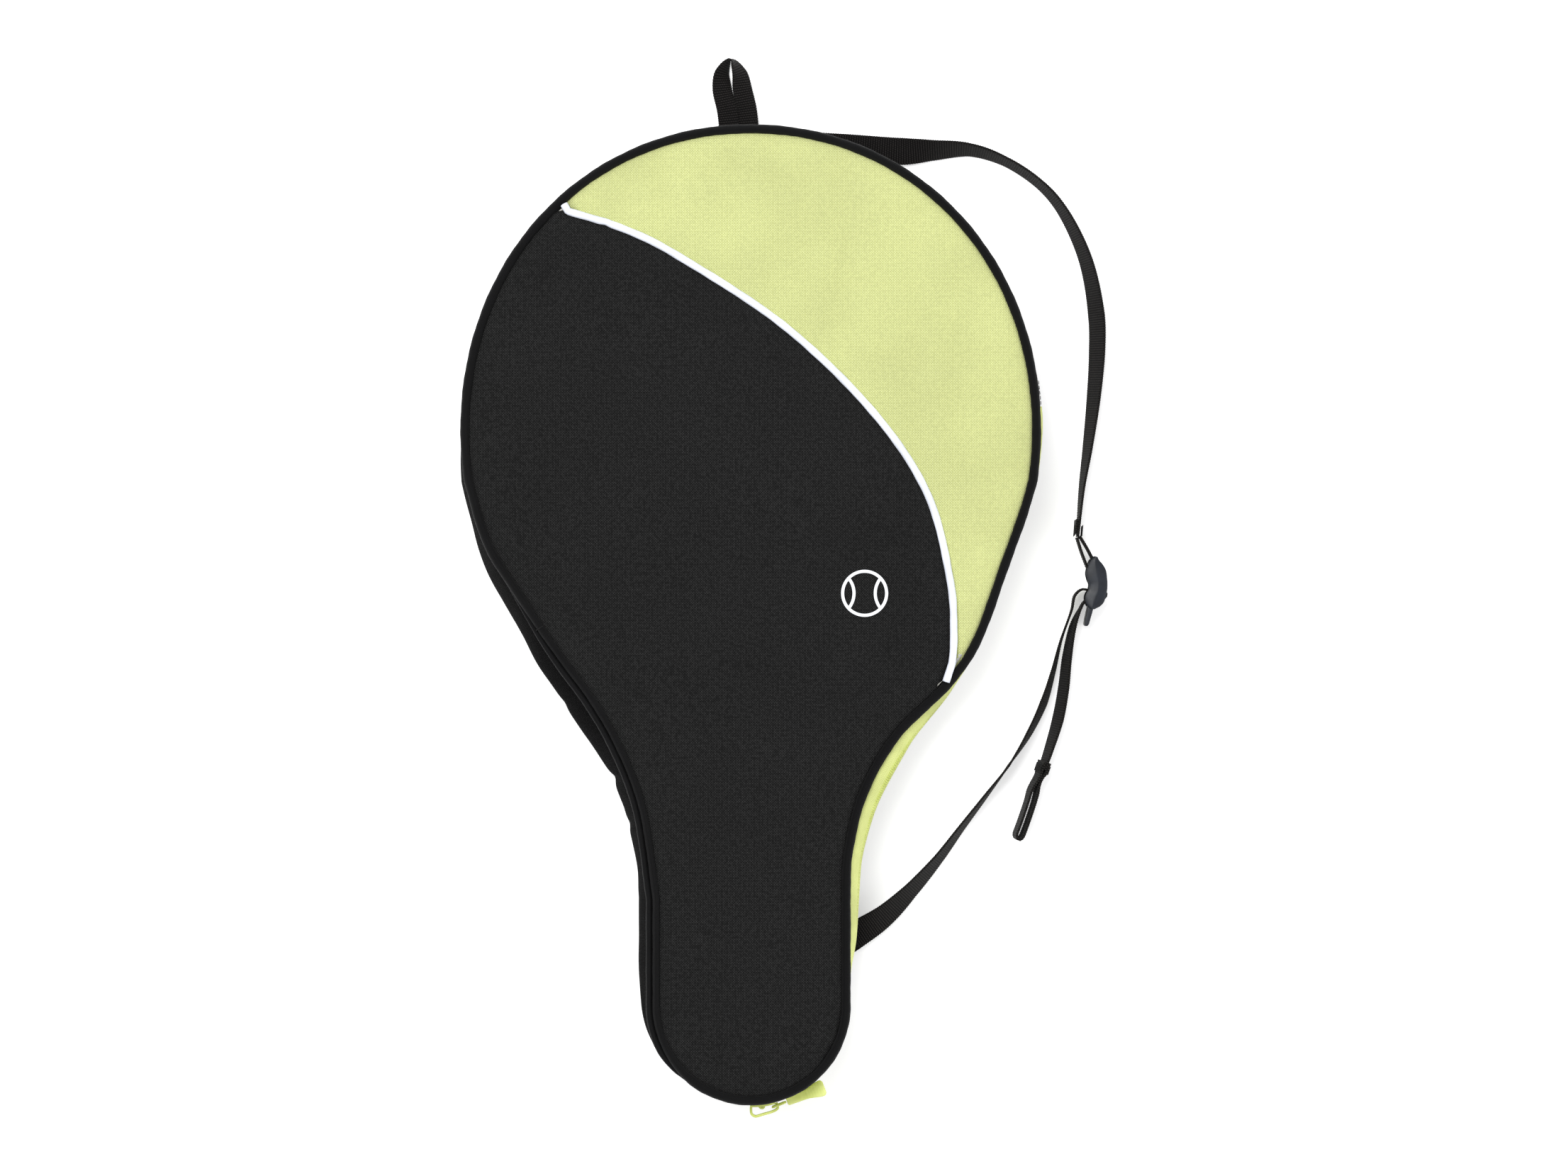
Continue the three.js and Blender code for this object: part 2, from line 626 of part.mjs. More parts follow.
function addLadderLock() {
  const frame = new THREE.Shape();
  frame.moveTo(177.3, 280.2);
  frame.quadraticCurveTo(173.6, 278.8, 172.6, 274.5);
  frame.quadraticCurveTo(172.2, 270, 173.8, 266.2);
  frame.quadraticCurveTo(174.9, 262.8, 172.7, 260);
  frame.quadraticCurveTo(170.8, 256.6, 172.6, 254.2);
  frame.quadraticCurveTo(175.4, 252, 178.4, 253.8);
  frame.quadraticCurveTo(183, 257.4, 183.4, 265.5);
  frame.quadraticCurveTo(183.4, 273.5, 180.6, 278);
  frame.quadraticCurveTo(179.3, 280.4, 177.3, 280.2);
  let lock = toSolid(plate(frame, LOCK_LOW, LOCK_LOW + LOCK_SIDE, 4));
  lock = lock.add(toSolid(plate(frame, LOCK_HIGH - LOCK_SIDE, LOCK_HIGH, 4)));
  for (const bar of [TOP_BAR, MIDDLE_BAR]) {
    const rod = plate(roundSection(bar.x, bar.y, BAR_RADIUS), LOCK_LOW + 1, LOCK_HIGH - 1, 6);
    lock = lock.add(toSolid(rod));
  }
  const thumbPlate = polygon([[173.6, 255], [176, 255], [173.4, 244.2], [171.6, 244.2]]);
  lock = lock.add(toSolid(plate(thumbPlate, LOCK_LOW + 1, LOCK_HIGH - 1)));
  addPiece("ladder_lock", toGeometry(lock), "buckle");
}

// Webbing bent round an upright bar, open towards the given direction.
function webbingRoundBar(bar, openTowards, leg) {
  const inner = BAR_RADIUS + GAP;
  const outer = inner + STRAP_THICKNESS;
  const shape = new THREE.Shape();
  shape.moveTo(leg, -outer);
  shape.lineTo(0, -outer);
  shape.absarc(0, 0, outer, 1.5 * Math.PI, 0.5 * Math.PI, true);
  shape.lineTo(leg, outer);
  shape.lineTo(leg, inner);
  shape.lineTo(0, inner);
  shape.absarc(0, 0, inner, 0.5 * Math.PI, 1.5 * Math.PI);
  shape.lineTo(leg, -inner);
  const geometry = plate(shape, WEB_LOW, WEB_HIGH, 8);
  geometry.rotateZ(openTowards);
  return geometry.translate(bar.x, bar.y, 0);
}

function addWebbingAtLock() {
  const up = THREE.MathUtils.degToRad(114);
  addPiece("strap_upper_loop", webbingRoundBar(TOP_BAR, up, 15.9), "webbing");
  const left = Math.PI;
  addPiece("strap_wrap", webbingRoundBar(MIDDLE_BAR, left, 5.6), "webbing");
}

addRear();
addGusset();
addZip();
addFront();
addBallMark();
addSlider();
addPuller();
addWebbing();
addLadderLock();
addWebbingAtLock();

// The origin is under the middle of the case, measured without the webbing and what is on it.
function caseBox() {
  const box = new THREE.Box3();
  for (const mesh of group.children) {
    const soft = /^(strap_|hang_loop|ladder_lock)/.test(mesh.name);
    if (!soft) box.expandByObject(mesh);
  }
  return box;
}

const middle = caseBox().getCenter(new THREE.Vector3());
group.position.set(-middle.x, -middle.y, 0);

export default group;
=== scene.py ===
"""The looks of the padded racket case: covers, gusset, zip, piping, webbing and hardware.

Shapes are worked out in case millimetres (x from the middle line, y from the handle end, z up)
and turned into the row frame's metres when their mesh is made.
"""

import json
import math

import bmesh
import bpy
import numpy as np
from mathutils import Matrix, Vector
from mathutils.geometry import delaunay_2d_cdt


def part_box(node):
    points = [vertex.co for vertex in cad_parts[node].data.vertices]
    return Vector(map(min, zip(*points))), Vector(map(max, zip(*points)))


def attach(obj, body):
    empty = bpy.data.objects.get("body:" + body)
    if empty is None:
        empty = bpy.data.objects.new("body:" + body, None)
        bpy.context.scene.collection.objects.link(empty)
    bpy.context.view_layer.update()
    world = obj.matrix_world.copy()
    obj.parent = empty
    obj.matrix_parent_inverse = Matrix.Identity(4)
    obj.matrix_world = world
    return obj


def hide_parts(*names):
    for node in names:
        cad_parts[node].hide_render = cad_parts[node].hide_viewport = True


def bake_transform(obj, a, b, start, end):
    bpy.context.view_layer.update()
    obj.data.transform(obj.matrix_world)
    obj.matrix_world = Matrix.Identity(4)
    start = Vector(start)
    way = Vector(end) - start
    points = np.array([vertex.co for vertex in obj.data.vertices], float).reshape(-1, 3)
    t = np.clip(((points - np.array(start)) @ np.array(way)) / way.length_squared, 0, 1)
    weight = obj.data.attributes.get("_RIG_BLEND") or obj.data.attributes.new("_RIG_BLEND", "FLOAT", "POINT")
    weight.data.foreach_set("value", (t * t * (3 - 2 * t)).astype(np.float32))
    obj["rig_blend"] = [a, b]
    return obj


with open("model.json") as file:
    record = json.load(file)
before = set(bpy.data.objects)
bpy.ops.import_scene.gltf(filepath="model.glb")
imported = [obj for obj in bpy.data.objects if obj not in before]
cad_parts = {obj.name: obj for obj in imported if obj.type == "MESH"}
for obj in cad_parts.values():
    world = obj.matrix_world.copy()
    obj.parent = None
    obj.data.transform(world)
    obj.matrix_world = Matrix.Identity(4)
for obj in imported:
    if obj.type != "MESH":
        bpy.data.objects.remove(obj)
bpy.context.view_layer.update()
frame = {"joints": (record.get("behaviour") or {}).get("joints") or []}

# ---------------------------------------------------------------- driving dimensions
MM = 0.001
CASE_LENGTH = 500.0
CASE_DEPTH = 50.0
HEAD_HALF_WIDTH = 148.0
HEAD_HALF_LENGTH = 156.0
HEAD_FULLNESS = 2.06  # 2 would be an ellipse, and more is fuller at the shoulders
HEAD_CENTRE = CASE_LENGTH - HEAD_HALF_LENGTH
HANDLE_RADIUS = 51.0
HANDLE_TOP = 105.0
PIPING_RADIUS = 2.3
PANEL_INSET = 4.9  # the CAD panels stop this far inside the piping's outer edge
TUCK = 3.7  # the sewn covers run in under the piping to here
SEAM_PIPING_RADIUS = 1.9
SEAM_PIPING_HEIGHT = 51.1
ZIP_START = -7.5  # where the zip's cloth begins, 1.5 mm before the CAD's
ZIP_END = 412.0
TAPE_WIDTH = 9.0  # from the sewn edge of each zip tape to the middle of the coils
STRAP_WIDTH = 15.0
STRAP_THICKNESS = 1.3
LOOP_WIDTH = 10.6  # 10 mm in the CAD; drawn wider, so its two strands overlap
WEBBING_RIB = 1.24
ZIP_HEIGHT = 36.0

# The case's zero point in the row frame: the rear panel is level with it and PANEL_INSET above it.
rear_low, rear_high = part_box("rear_panel")
CASE_ZERO = np.array([(rear_low.x + rear_high.x) / 2, rear_low.y - PANEL_INSET * MM, 0.0])


def row(points):
    """Case millimetres to the row frame's metres."""
    return np.asarray(points, float) * MM + CASE_ZERO


def smoothstep(t):
    t = np.clip(t, 0.0, 1.0)
    return t * t * (3.0 - 2.0 * t)


def hump(x, centre, width):
    """A smooth hump of height 1 about centre."""
    return np.exp(-(((x - centre) / width) ** 2))


def unit(vectors):
    """The same directions, each of length 1."""
    return vectors / np.linalg.norm(vectors, axis=-1, keepdims=True)


def upright(count):
    """The up direction, count times."""
    return np.tile([0.0, 0.0, 1.0], (count, 1))


# ---------------------------------------------------------------- curves
def catmull_rom(points, per_span, centripetal=False):
    """A smooth line through points, in as many dimensions as they have."""
    points = np.asarray(points, float)
    first = points[:1]
    last = points[-1:]
    if centripetal:
        first = 2 * points[:1] - points[1:2]
        last = 2 * points[-1:] - points[-2:-1]
    ends = np.vstack([first, points, last])
    out = []
    for i in range(len(points) - 1):
        p0, p1, p2, p3 = ends[i:i + 4]
        t = np.linspace(0, 1, per_span, endpoint=False)[:, None]
        if centripetal:
            d1 = max(np.linalg.norm((p1 - p0)[:3]) ** 0.5, 1e-4)
            d2 = max(np.linalg.norm((p2 - p1)[:3]) ** 0.5, 1e-4)
            d3 = max(np.linalg.norm((p3 - p2)[:3]) ** 0.5, 1e-4)
            m1 = ((p1 - p0) / d1 - (p2 - p0) / (d1 + d2) + (p2 - p1) / d2) * d2
            m2 = ((p2 - p1) / d2 - (p3 - p1) / (d2 + d3) + (p3 - p2) / d3) * d2
        else:
            m1 = (p2 - p0) / 2
            m2 = (p3 - p1) / 2
        out.append(
            (2 * t**3 - 3 * t**2 + 1) * p1
            + (t**3 - 2 * t**2 + t) * m1
            + (3 * t**2 - 2 * t**3) * p2
            + (t**3 - t**2) * m2
        )
    return np.vstack([*out, points[-1:]])


def lengths(points):
    """Distance from the first point, along the line, of each point."""
    steps = np.linalg.norm(np.diff(points, axis=0), axis=1)
    return np.concatenate([[0.0], np.cumsum(steps)])


def evenly(points, step, measure=3):
    """The same line with its points step apart. Only the first columns count as length."""
    along = lengths(points[:, :measure])
    wanted = np.linspace(0, along[-1], max(2, int(round(along[-1] / step)) + 1))
    return np.stack([np.interp(wanted, along, points[:, k]) for k in range(points.shape[1])], 1)


def ellipse_arc(centre, radii, start, end, count=240):
    angle = np.radians(np.linspace(start, end, count))
    return np.stack([centre[0] + radii[0] * np.cos(angle), centre[1] + radii[1] * np.sin(angle)], 1)


# ---------------------------------------------------------------- the outline
RIGHT_FLANK = [(52, 128), (59.5, 158), (76, 187), (102, 213), (117.5, 236), (131.5, 274), (141, 300.5)]
LEFT_FLANK = [(-136.5, 286), (-121, 260), (-102, 231), (-81, 202), (-66.5, 175), (-57, 147)]
FLANK_ANGLE = 9.0  # degrees that the head's curve runs on below its widest place
HEAD_STEP = 6.0  # degrees between the points of the head's curve


def on_head(degrees):
    """A place on the head, at an angle in degrees from the right."""
    angle = math.radians(degrees)
    full = [
        math.copysign(abs(value) ** (2 / HEAD_FULLNESS), value)
        for value in (math.cos(angle), math.sin(angle))
    ]
    return (HEAD_HALF_WIDTH * full[0], HEAD_CENTRE + HEAD_HALF_LENGTH * full[1])


def case_outline():
    """Closed outline from the bottom centre, anticlockwise, sampled finely."""
    r = HANDLE_RADIUS
    angles = np.arange(-FLANK_ANGLE, 180 + FLANK_ANGLE + 0.1, HEAD_STEP)
    head = [on_head(angle) for angle in angles]
    parts = [
        ellipse_arc((0, r), (r, r), -90, 0),
        catmull_rom([(r, HANDLE_TOP), *RIGHT_FLANK, head[0]], 60),
        catmull_rom(head, 40),
        catmull_rom([head[-1], *LEFT_FLANK, (-r, HANDLE_TOP)], 60),
        ellipse_arc((0, r), (r, r), 180, 270),
    ]
    return evenly(np.vstack(parts), 0.5, 2)


OUTLINE = case_outline()
OUTLINE_AT = lengths(OUTLINE)
OUTLINE_LENGTH = OUTLINE_AT[-1]


def along_outline(s):
    """Points of the outline s mm from the bottom centre, and the directions out of the case there."""
    s = np.asarray(s, float)
    half = 1.5

    def at(where):
        where = np.mod(where, OUTLINE_LENGTH)
        return np.stack([np.interp(where, OUTLINE_AT, OUTLINE[:, k]) for k in (0, 1)], -1)

    tangent = unit(at(s + half) - at(s - half))
    return at(s), np.stack([tangent[..., 1], -tangent[..., 0]], -1)


def offset_outline(s, offset):
    point, outward = along_outline(s)
    return point + outward * np.asarray(offset, float)[..., None]


# The fold of the flap: the front turns up about this line when the zip is open.
hinge = next(j for j in frame["joints"] if j["name"] == "flap_open")
FOLD_AT = np.array(hinge["pos_m"][:2])
FOLD_ACROSS = np.array([-hinge["axis"][1], hinge["axis"][0]])  # towards the flap
FOLD_WIDTH = 0.030


def blend_over_fold(piece, height_share=None):
    """Makes a piece bend with the flap. height_share keeps the foot of an upright piece still."""
    start = Vector((*FOLD_AT, 0.0))
    end = start + Vector((*(FOLD_ACROSS * FOLD_WIDTH), 0.0))
    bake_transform(piece, "case", "flap", start=start, end=end)
    if height_share is not None:
        weights = piece.data.attributes["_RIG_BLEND"].data
        for vertex, weight in zip(piece.data.vertices, weights):
            weight.value *= height_share(vertex.co.z)


# ---------------------------------------------------------------- mesh building
class Surface:
    """Collects patches of quads and caps, with their UVs in metres, and makes one mesh."""

    def __init__(self):
        self.points = []
        self.faces = []
        self.corners = []

    def grid(self, points, uv, close_rows=False, close_columns=False):
        rows, columns = points.shape[:2]
        number = len(self.points) + np.arange(rows * columns).reshape(rows, columns)
        first = number
        self.points.extend(points.reshape(-1, 3))
        if close_rows:
            number = np.vstack([number, number[:1]])
        if close_columns:
            number = np.hstack([number, number[:, :1]])
        for face in (number, uv):
            corners = np.stack([face[:-1, :-1], face[1:, :-1], face[1:, 1:], face[:-1, 1:]], 2)
            if face is number:
                self.faces.extend(corners.reshape(-1, 4).tolist())
            else:
                self.corners.extend(corners.reshape(-1, 2).tolist())
        return first

    def cap(self, ring):
        """Closes a ring of point numbers with a fan about its middle."""
        ring = list(ring)
        middle = len(self.points)
        self.points.append(np.mean([self.points[i] for i in ring], axis=0))
        for a, b in zip(ring, ring[1:] + ring[:1]):
            self.faces.append([middle, a, b])
            self.corners.extend([[0.0, 0.0], [0.001, 0.0], [0.0, 0.001]])

    def object(self, name, material):
        mesh = bpy.data.meshes.new(name)
        mesh.from_pydata([tuple(p) for p in row(self.points)], [], self.faces)
        layer = mesh.uv_layers.new(name="cloth")
        layer.data.foreach_set("uv", np.asarray(self.corners, np.float32).ravel())
        return finished(mesh, name, material)


def finished(mesh, name, material):
    """Turns all faces outwards, links the mesh and gives it its material."""
    bm = bmesh.new()
    bm.from_mesh(mesh)
    bmesh.ops.recalc_face_normals(bm, faces=bm.faces)
    bm.to_mesh(mesh)
    bm.free()
    for polygon in mesh.polygons:
        polygon.use_smooth = True
    mesh.materials.append(material)
    piece = bpy.data.objects.new(name, mesh)
    bpy.context.scene.collection.objects.link(piece)
    return piece


def sweep(surface, middle, across, up, section, closed=False):
    """Carries a section, (m, 2) or (n, m, 2), along n places. UV: along the line, round the section."""
    section = np.asarray(section, float)
    if section.ndim == 2:
        section = np.broadcast_to(section, (len(middle), *section.shape))
    rings = middle[:, None] + section[..., :1] * across[:, None] + section[..., 1:] * up[:, None]
    around = lengths(np.vstack([section[0], section[0][:1]]))
    loop = np.vstack([middle, middle[:1]]) if closed else middle
    along = lengths(loop)
    uv = np.stack(np.broadcast_arrays(along[:, None], around[None, :]), -1) * MM
    first = surface.grid(rings, uv, close_rows=closed, close_columns=True)
    if not closed:
        surface.cap(first[0])
        surface.cap(first[-1])
    return surface


def circle_section(radius, sides=16, squeeze=1.0):
    angle = np.linspace(0, 2 * math.pi, sides, endpoint=False)
    return np.stack([radius * np.cos(angle), squeeze * radius * np.sin(angle)], 1)


def rounded_rectangle(width, height, radius, steps=4):
    corners = []
    for sx, sy, start in ((1, 1, 0), (-1, 1, 90), (-1, -1, 180), (1, -1, 270)):
        centre = (sx * (width / 2 - radius), sy * (height / 2 - radius))
        corners.append(ellipse_arc(centre, (radius, radius), start, start + 90, steps))
    return np.vstack(corners)


def tube_along_outline(surface, s, offset, z, section, closed=False):
    """A section swept along the outline: its first axis points out of the case, its second up."""
    spot, outward = along_outline(s)
    ones = np.ones(len(s))
    middle = np.column_stack([spot + outward * (offset * ones)[:, None], z * ones])
    across = np.column_stack([outward, 0 * ones])
    up = upright(len(s))
    return sweep(surface, middle, across, up, section, closed)


def wall_strip(surface, s, profile, thickness):
    """A cloth wall along the outline. profile(s) gives its outer line as rows of offset and z."""
    spot, outward = along_outline(s)
    outer = np.stack([profile(value) for value in s])
    run = unit(np.gradient(outer, axis=1))
    inward = np.stack([-run[..., 1], run[..., 0]], -1)
    loop = np.concatenate([outer, (outer + inward * thickness)[:, ::-1]], 1)
    points = np.concatenate(
        [spot[:, None] + outward[:, None] * loop[..., :1], loop[..., 1:]], 2
    )
    around = lengths(np.vstack([loop[0], loop[0][:1]]))
    uv = np.stack(np.broadcast_arrays((s - s[0])[:, None], around[None, :]), -1) * MM
    first = surface.grid(points, uv, close_columns=True)
    surface.cap(first[0])
    surface.cap(first[-1])
    return surface


def prism(name, loop, low, high, bevel, material, place=None):
    """A flat plate with rounded edges, from an outline drawn in x and y."""
    bm = bmesh.new()
    bottom = [bm.verts.new((x, y, low)) for x, y in loop]
    face = bm.faces.new(bottom)
    raised = bmesh.ops.extrude_face_region(bm, geom=[face])["geom"]
    for item in raised:
        if isinstance(item, bmesh.types.BMVert):
            item.co.z = high
    bmesh.ops.recalc_face_normals(bm, faces=bm.faces)
    if bevel:
        flat = [f for f in bm.faces if abs(f.normal.z) > 0.9]
        edges = list({e for f in flat for e in f.edges})
        bmesh.ops.bevel(
            bm, geom=edges, offset=bevel, segments=3, profile=0.6, affect="EDGES", clamp_overlap=True
        )
    bmesh.ops.triangulate(bm, faces=[f for f in bm.faces if len(f.verts) > 4])
    points = np.array([v.co for v in bm.verts])
    if place:
        points = place(points)
    for vertex, point in zip(bm.verts, row(points)):
        vertex.co = point
    mesh = bpy.data.meshes.new(name)
    bm.to_mesh(mesh)
    bm.free()
    piece = finished(mesh, name, material)
    shade_by_angle(piece)
    return piece


def shade_by_angle(piece, degrees=38.0):
    """Keeps hard edges hard and the rest smooth."""
    piece.data.set_sharp_from_angle(angle=math.radians(degrees))


def joined(name, pieces):
    """One piece from several, under a new name."""
    bpy.ops.object.select_all(action="DESELECT")
    for piece in pieces:
        piece.select_set(True)
    bpy.context.view_layer.objects.active = pieces[0]
    bpy.ops.object.join()
    pieces[0].name = name
    pieces[0].data.name = name
    return pieces[0]


# ---------------------------------------------------------------- shader nodes
class Shader:
    """A material with a Principled shader, and short ways to add nodes to it."""

    def __init__(self, name, roughness, specular=0.5, **fixed):
        self.material = bpy.data.materials.new(name)
        self.material.use_nodes = True
        self.tree = self.material.node_tree
        self.bsdf = self.tree.nodes["Principled BSDF"]
        self.bsdf.inputs["Roughness"].default_value = roughness
        self.bsdf.inputs["Specular IOR Level"].default_value = specular
        for key, value in fixed.items():
            self.bsdf.inputs[key.replace("_", " ")].default_value = value

    def node(self, kind, **settings):
        node = self.tree.nodes.new(kind)
        for key, value in settings.items():
            setattr(node, key, value)
        return node

    def plug(self, value, socket):
        if isinstance(value, (int, float, tuple)):
            socket.default_value = value
        else:
            self.tree.links.new(value, socket)

    def math(self, operation, a, b=0.0, c=0.0):
        node = self.node("ShaderNodeMath", operation=operation)
        for value, socket in zip((a, b, c), node.inputs):
            self.plug(value, socket)
        return node.outputs[0]

    def ridges(self, value):
        """Round ridges, one for each whole number of value."""
        turned = self.math("MULTIPLY", value, math.pi)
        return self.math("ABSOLUTE", self.math("SINE", turned))

    def shaded(self, tone, value):
        """A colour made lighter or darker."""
        shade = self.node("ShaderNodeHueSaturation")
        self.plug(value, shade.inputs["Value"])
        self.plug(tone, shade.inputs["Color"])
        return shade.outputs[0]

    def mix(self, share, a, b):
        node = self.node("ShaderNodeMix", data_type="RGBA")
        self.plug(share, node.inputs["Factor"])
        self.plug(a, node.inputs[6])
        self.plug(b, node.inputs[7])
        return node.outputs[2]

    def ramp(self, value, low, high, to_low=0.0, to_high=1.0):
        node = self.node("ShaderNodeMapRange", interpolation_type="SMOOTHSTEP")
        for item, socket in zip((value, low, high, to_low, to_high), node.inputs):
            self.plug(item, socket)
        return node.outputs[0]

    def uv(self):
        """The cloth's own coordinates, in millimetres."""
        split = self.node("ShaderNodeSeparateXYZ")
        self.plug(self.node("ShaderNodeUVMap", uv_map="cloth").outputs[0], split.inputs[0])
        return self.math("MULTIPLY", split.outputs[0], 1000.0), self.math(
            "MULTIPLY", split.outputs[1], 1000.0
        )

    def place(self):
        return self.node("ShaderNodeTexCoord").outputs["Object"]

    def noise(self, size_mm, detail=2.0, vector=None, roughness=0.5):
        """Noise with blobs of about that size."""
        node = self.node("ShaderNodeTexNoise")
        self.plug(vector or self.place(), node.inputs["Vector"])
        node.inputs["Scale"].default_value = 1000.0 / size_mm
        node.inputs["Detail"].default_value = detail
        node.inputs["Roughness"].default_value = roughness
        return node.outputs[0]

    def bump(self, height, distance_mm, strength=1.0):
        node = self.node("ShaderNodeBump")
        node.inputs["Distance"].default_value = distance_mm * MM
        node.inputs["Strength"].default_value = strength
        self.plug(height, node.inputs["Height"])
        self.plug(node.outputs[0], self.bsdf.inputs["Normal"])

    def colour(self, value):
        self.plug(value, self.bsdf.inputs["Base Color"])

    def rough(self, value):
        self.plug(value, self.bsdf.inputs["Roughness"])


def threads(shader, u, v, pitch):
    """Plain weave: its height, and a value for each crossing of threads."""
    u = shader.math("DIVIDE", u, pitch)
    v = shader.math("DIVIDE", v, pitch)
    side = shader.ridges(u)
    end = shader.ridges(v)
    cell = shader.math("ADD", shader.math("FLOOR", u), shader.math("FLOOR", v))
    warp_on_top = shader.math("GREATER_THAN", shader.math("PINGPONG", cell, 1.0), 0.5)
    warp = shader.math("MULTIPLY", side, shader.math("MULTIPLY_ADD", end, 0.55, 0.45))
    weft = shader.math("MULTIPLY", end, shader.math("MULTIPLY_ADD", side, 0.55, 0.45))
    height = shader.math(
        "ADD",
        shader.math("MULTIPLY", warp_on_top, warp),
        shader.math("MULTIPLY", shader.math("SUBTRACT", 1.0, warp_on_top), weft),
    )
    return height, warp_on_top


def lint(shader, cell_mm, share):
    """A mask of small specks of lint."""
    node = shader.node("ShaderNodeTexVoronoi")
    shader.plug(shader.place(), node.inputs["Vector"])
    node.inputs["Scale"].default_value = 1000.0 / cell_mm
    near = shader.math("LESS_THAN", node.outputs["Distance"], 0.28 / cell_mm)
    split = shader.node("ShaderNodeSeparateColor")
    shader.plug(node.outputs["Color"], split.inputs[0])
    chosen = shader.math("LESS_THAN", split.outputs[0], share)
    return shader.math("MULTIPLY", near, chosen)


def woven_cloth(name, dark, light, pitch, slub=0.1, specks=0.0, specular=0.1, sheen=0.04, bump=0.25):
    """Coarse plain-weave polyester. slub is how much its threads vary. Its raised threads get the light
    colour as painted highlight and the hollows between them the dark colour as painted shade.
    """
    shader = Shader(name, 0.88, specular, Sheen_Weight=sheen, Sheen_Roughness=0.5)
    u, v = shader.uv()
    height, warp_on_top = threads(shader, u, v, pitch)
    raised = shader.ramp(height, 0.15, 0.95)
    # painted highlight on the raised threads, weaker where the weft lies on top, and painted shade in the
    # hollows between them
    thread_highlight = shader.math("MULTIPLY", raised, shader.ramp(warp_on_top, 0, 1, 0.4, 1))
    tone = shader.mix(thread_highlight, dark, light)
    blotch = shader.ramp(shader.noise(55.0, 3.0), 0.3, 0.7, 0.95, 1.05)
    streak = shader.ramp(shader.noise(1.3, 1.0), 0.3, 0.7, 1 - slub, 1 + slub)
    colour = shader.shaded(tone, shader.math("MULTIPLY", blotch, streak))
    if specks:
        colour = shader.mix(lint(shader, 13.0, specks), colour, (0.16, 0.16, 0.15, 1.0))
    shader.colour(colour)
    shader.rough(shader.ramp(height, 0.0, 1.0, 0.95, 0.8))
    shader.bump(height, bump, 0.9)
    return shader.material


def twill_tape(name, dark, light, rib, turn_every, sheen=0.03, bump=0.15, roughness=0.85, specular=0.1):
    """Tape with slanting ribs that turn back every so often across it: a herringbone. Its rib crests get the
    light colour as painted highlight and the grooves the dark colour as painted shade.
    """
    shader = Shader(name, roughness, specular, Sheen_Weight=sheen, Sheen_Roughness=0.5)
    u, v = shader.uv()
    across = shader.math("PINGPONG", v, turn_every)
    slant = shader.math("DIVIDE", shader.math("ADD", u, across), rib)
    ridge = shader.ridges(slant)
    # painted highlight on the rib crests and painted shade in the grooves
    tone = shader.mix(shader.ramp(ridge, 0.1, 0.95), dark, light)
    cloud = shader.ramp(shader.noise(18.0, 3.0), 0.3, 0.7, 0.9, 1.1)
    shader.colour(shader.shaded(tone, cloud))
    shader.bump(ridge, bump, 0.9)
    return shader.material


def ribbed_webbing(name, dark, light):
    """Webbing: ribs across it, each a row of small knuckles set between those of the next rib. The raised
    knuckles get the light colour as painted highlight and the low places the dark colour as painted shade.
    """
    shader = Shader(name, 0.85, 0.1, Sheen_Weight=0.04, Sheen_Roughness=0.45)
    u, v = shader.uv()
    ribs = shader.math("DIVIDE", u, WEBBING_RIB)
    rib = shader.ridges(ribs)
    odd = shader.math("PINGPONG", shader.math("FLOOR", ribs), 1.0)
    knots = shader.math("MULTIPLY_ADD", odd, 0.5, shader.math("DIVIDE", v, 1.2))
    knot = shader.ridges(knots)
    height = shader.math("MULTIPLY", rib, shader.math("MULTIPLY_ADD", knot, 0.6, 0.4))
    # painted highlight on the raised knuckles and painted shade in the low places
    tone = shader.mix(shader.ramp(height, 0.2, 0.95), dark, light)
    fuzz = shader.ramp(shader.noise(0.8, 2.0), 0.3, 0.7, 0.8, 1.2)
    cloud = shader.ramp(shader.noise(30.0), 0.3, 0.7, 0.9, 1.1)
    shader.colour(shader.shaded(tone, shader.math("MULTIPLY", fuzz, cloud)))
    shader.bump(height, 0.2, 0.9)
    return shader.material


def moulded(name, dark, light, roughness, grain_mm, bump=0.02, coat=0.0, specular=0.5):
    """Moulded plastic, rubber or painted metal: fine grain and a little wear."""
    shader = Shader(name, roughness, specular, Coat_Weight=coat, Coat_Roughness=0.25)
    grain = shader.noise(grain_mm, 3.0)
    cloud = shader.ramp(shader.noise(6.0, 3.0), 0.3, 0.7)
    shader.colour(shader.mix(cloud, dark, light))
    shader.rough(shader.ramp(grain, 0.3, 0.7, roughness - 0.07, roughness + 0.1))
    shader.bump(grain, bump, 0.8)
    return shader.material


def foam_sheet(name):
    """Closed-cell foam: pale, with small cells, whose low pits are painted darker as painted shade."""
    shader = Shader(name, 0.95, 0.2)
    cells = shader.node("ShaderNodeTexVoronoi")
    shader.plug(shader.place(), cells.inputs["Vector"])
    cells.inputs["Scale"].default_value = 1000.0 / 0.9
    pit = shader.ramp(cells.outputs["Distance"], 0.1, 0.7)
    # painted shade: the low pits get the darker colour
    tone = shader.mix(pit, (0.72, 0.72, 0.68, 1.0), (0.55, 0.55, 0.51, 1.0))
    shader.colour(shader.mix(shader.ramp(shader.noise(40.0), 0.3, 0.7), tone, (0.66, 0.64, 0.57, 1.0)))
    shader.bump(pit, -0.1, 0.6)
    return shader.material


def rgb(r, g, b):
    """An sRGB colour of 0 to 255 as the linear colour that shaders take."""
    def linear(value):
        value /= 255.0
        return value / 12.92 if value <= 0.04045 else ((value + 0.055) / 1.055) ** 2.4
    return (linear(r), linear(g), linear(b), 1.0)
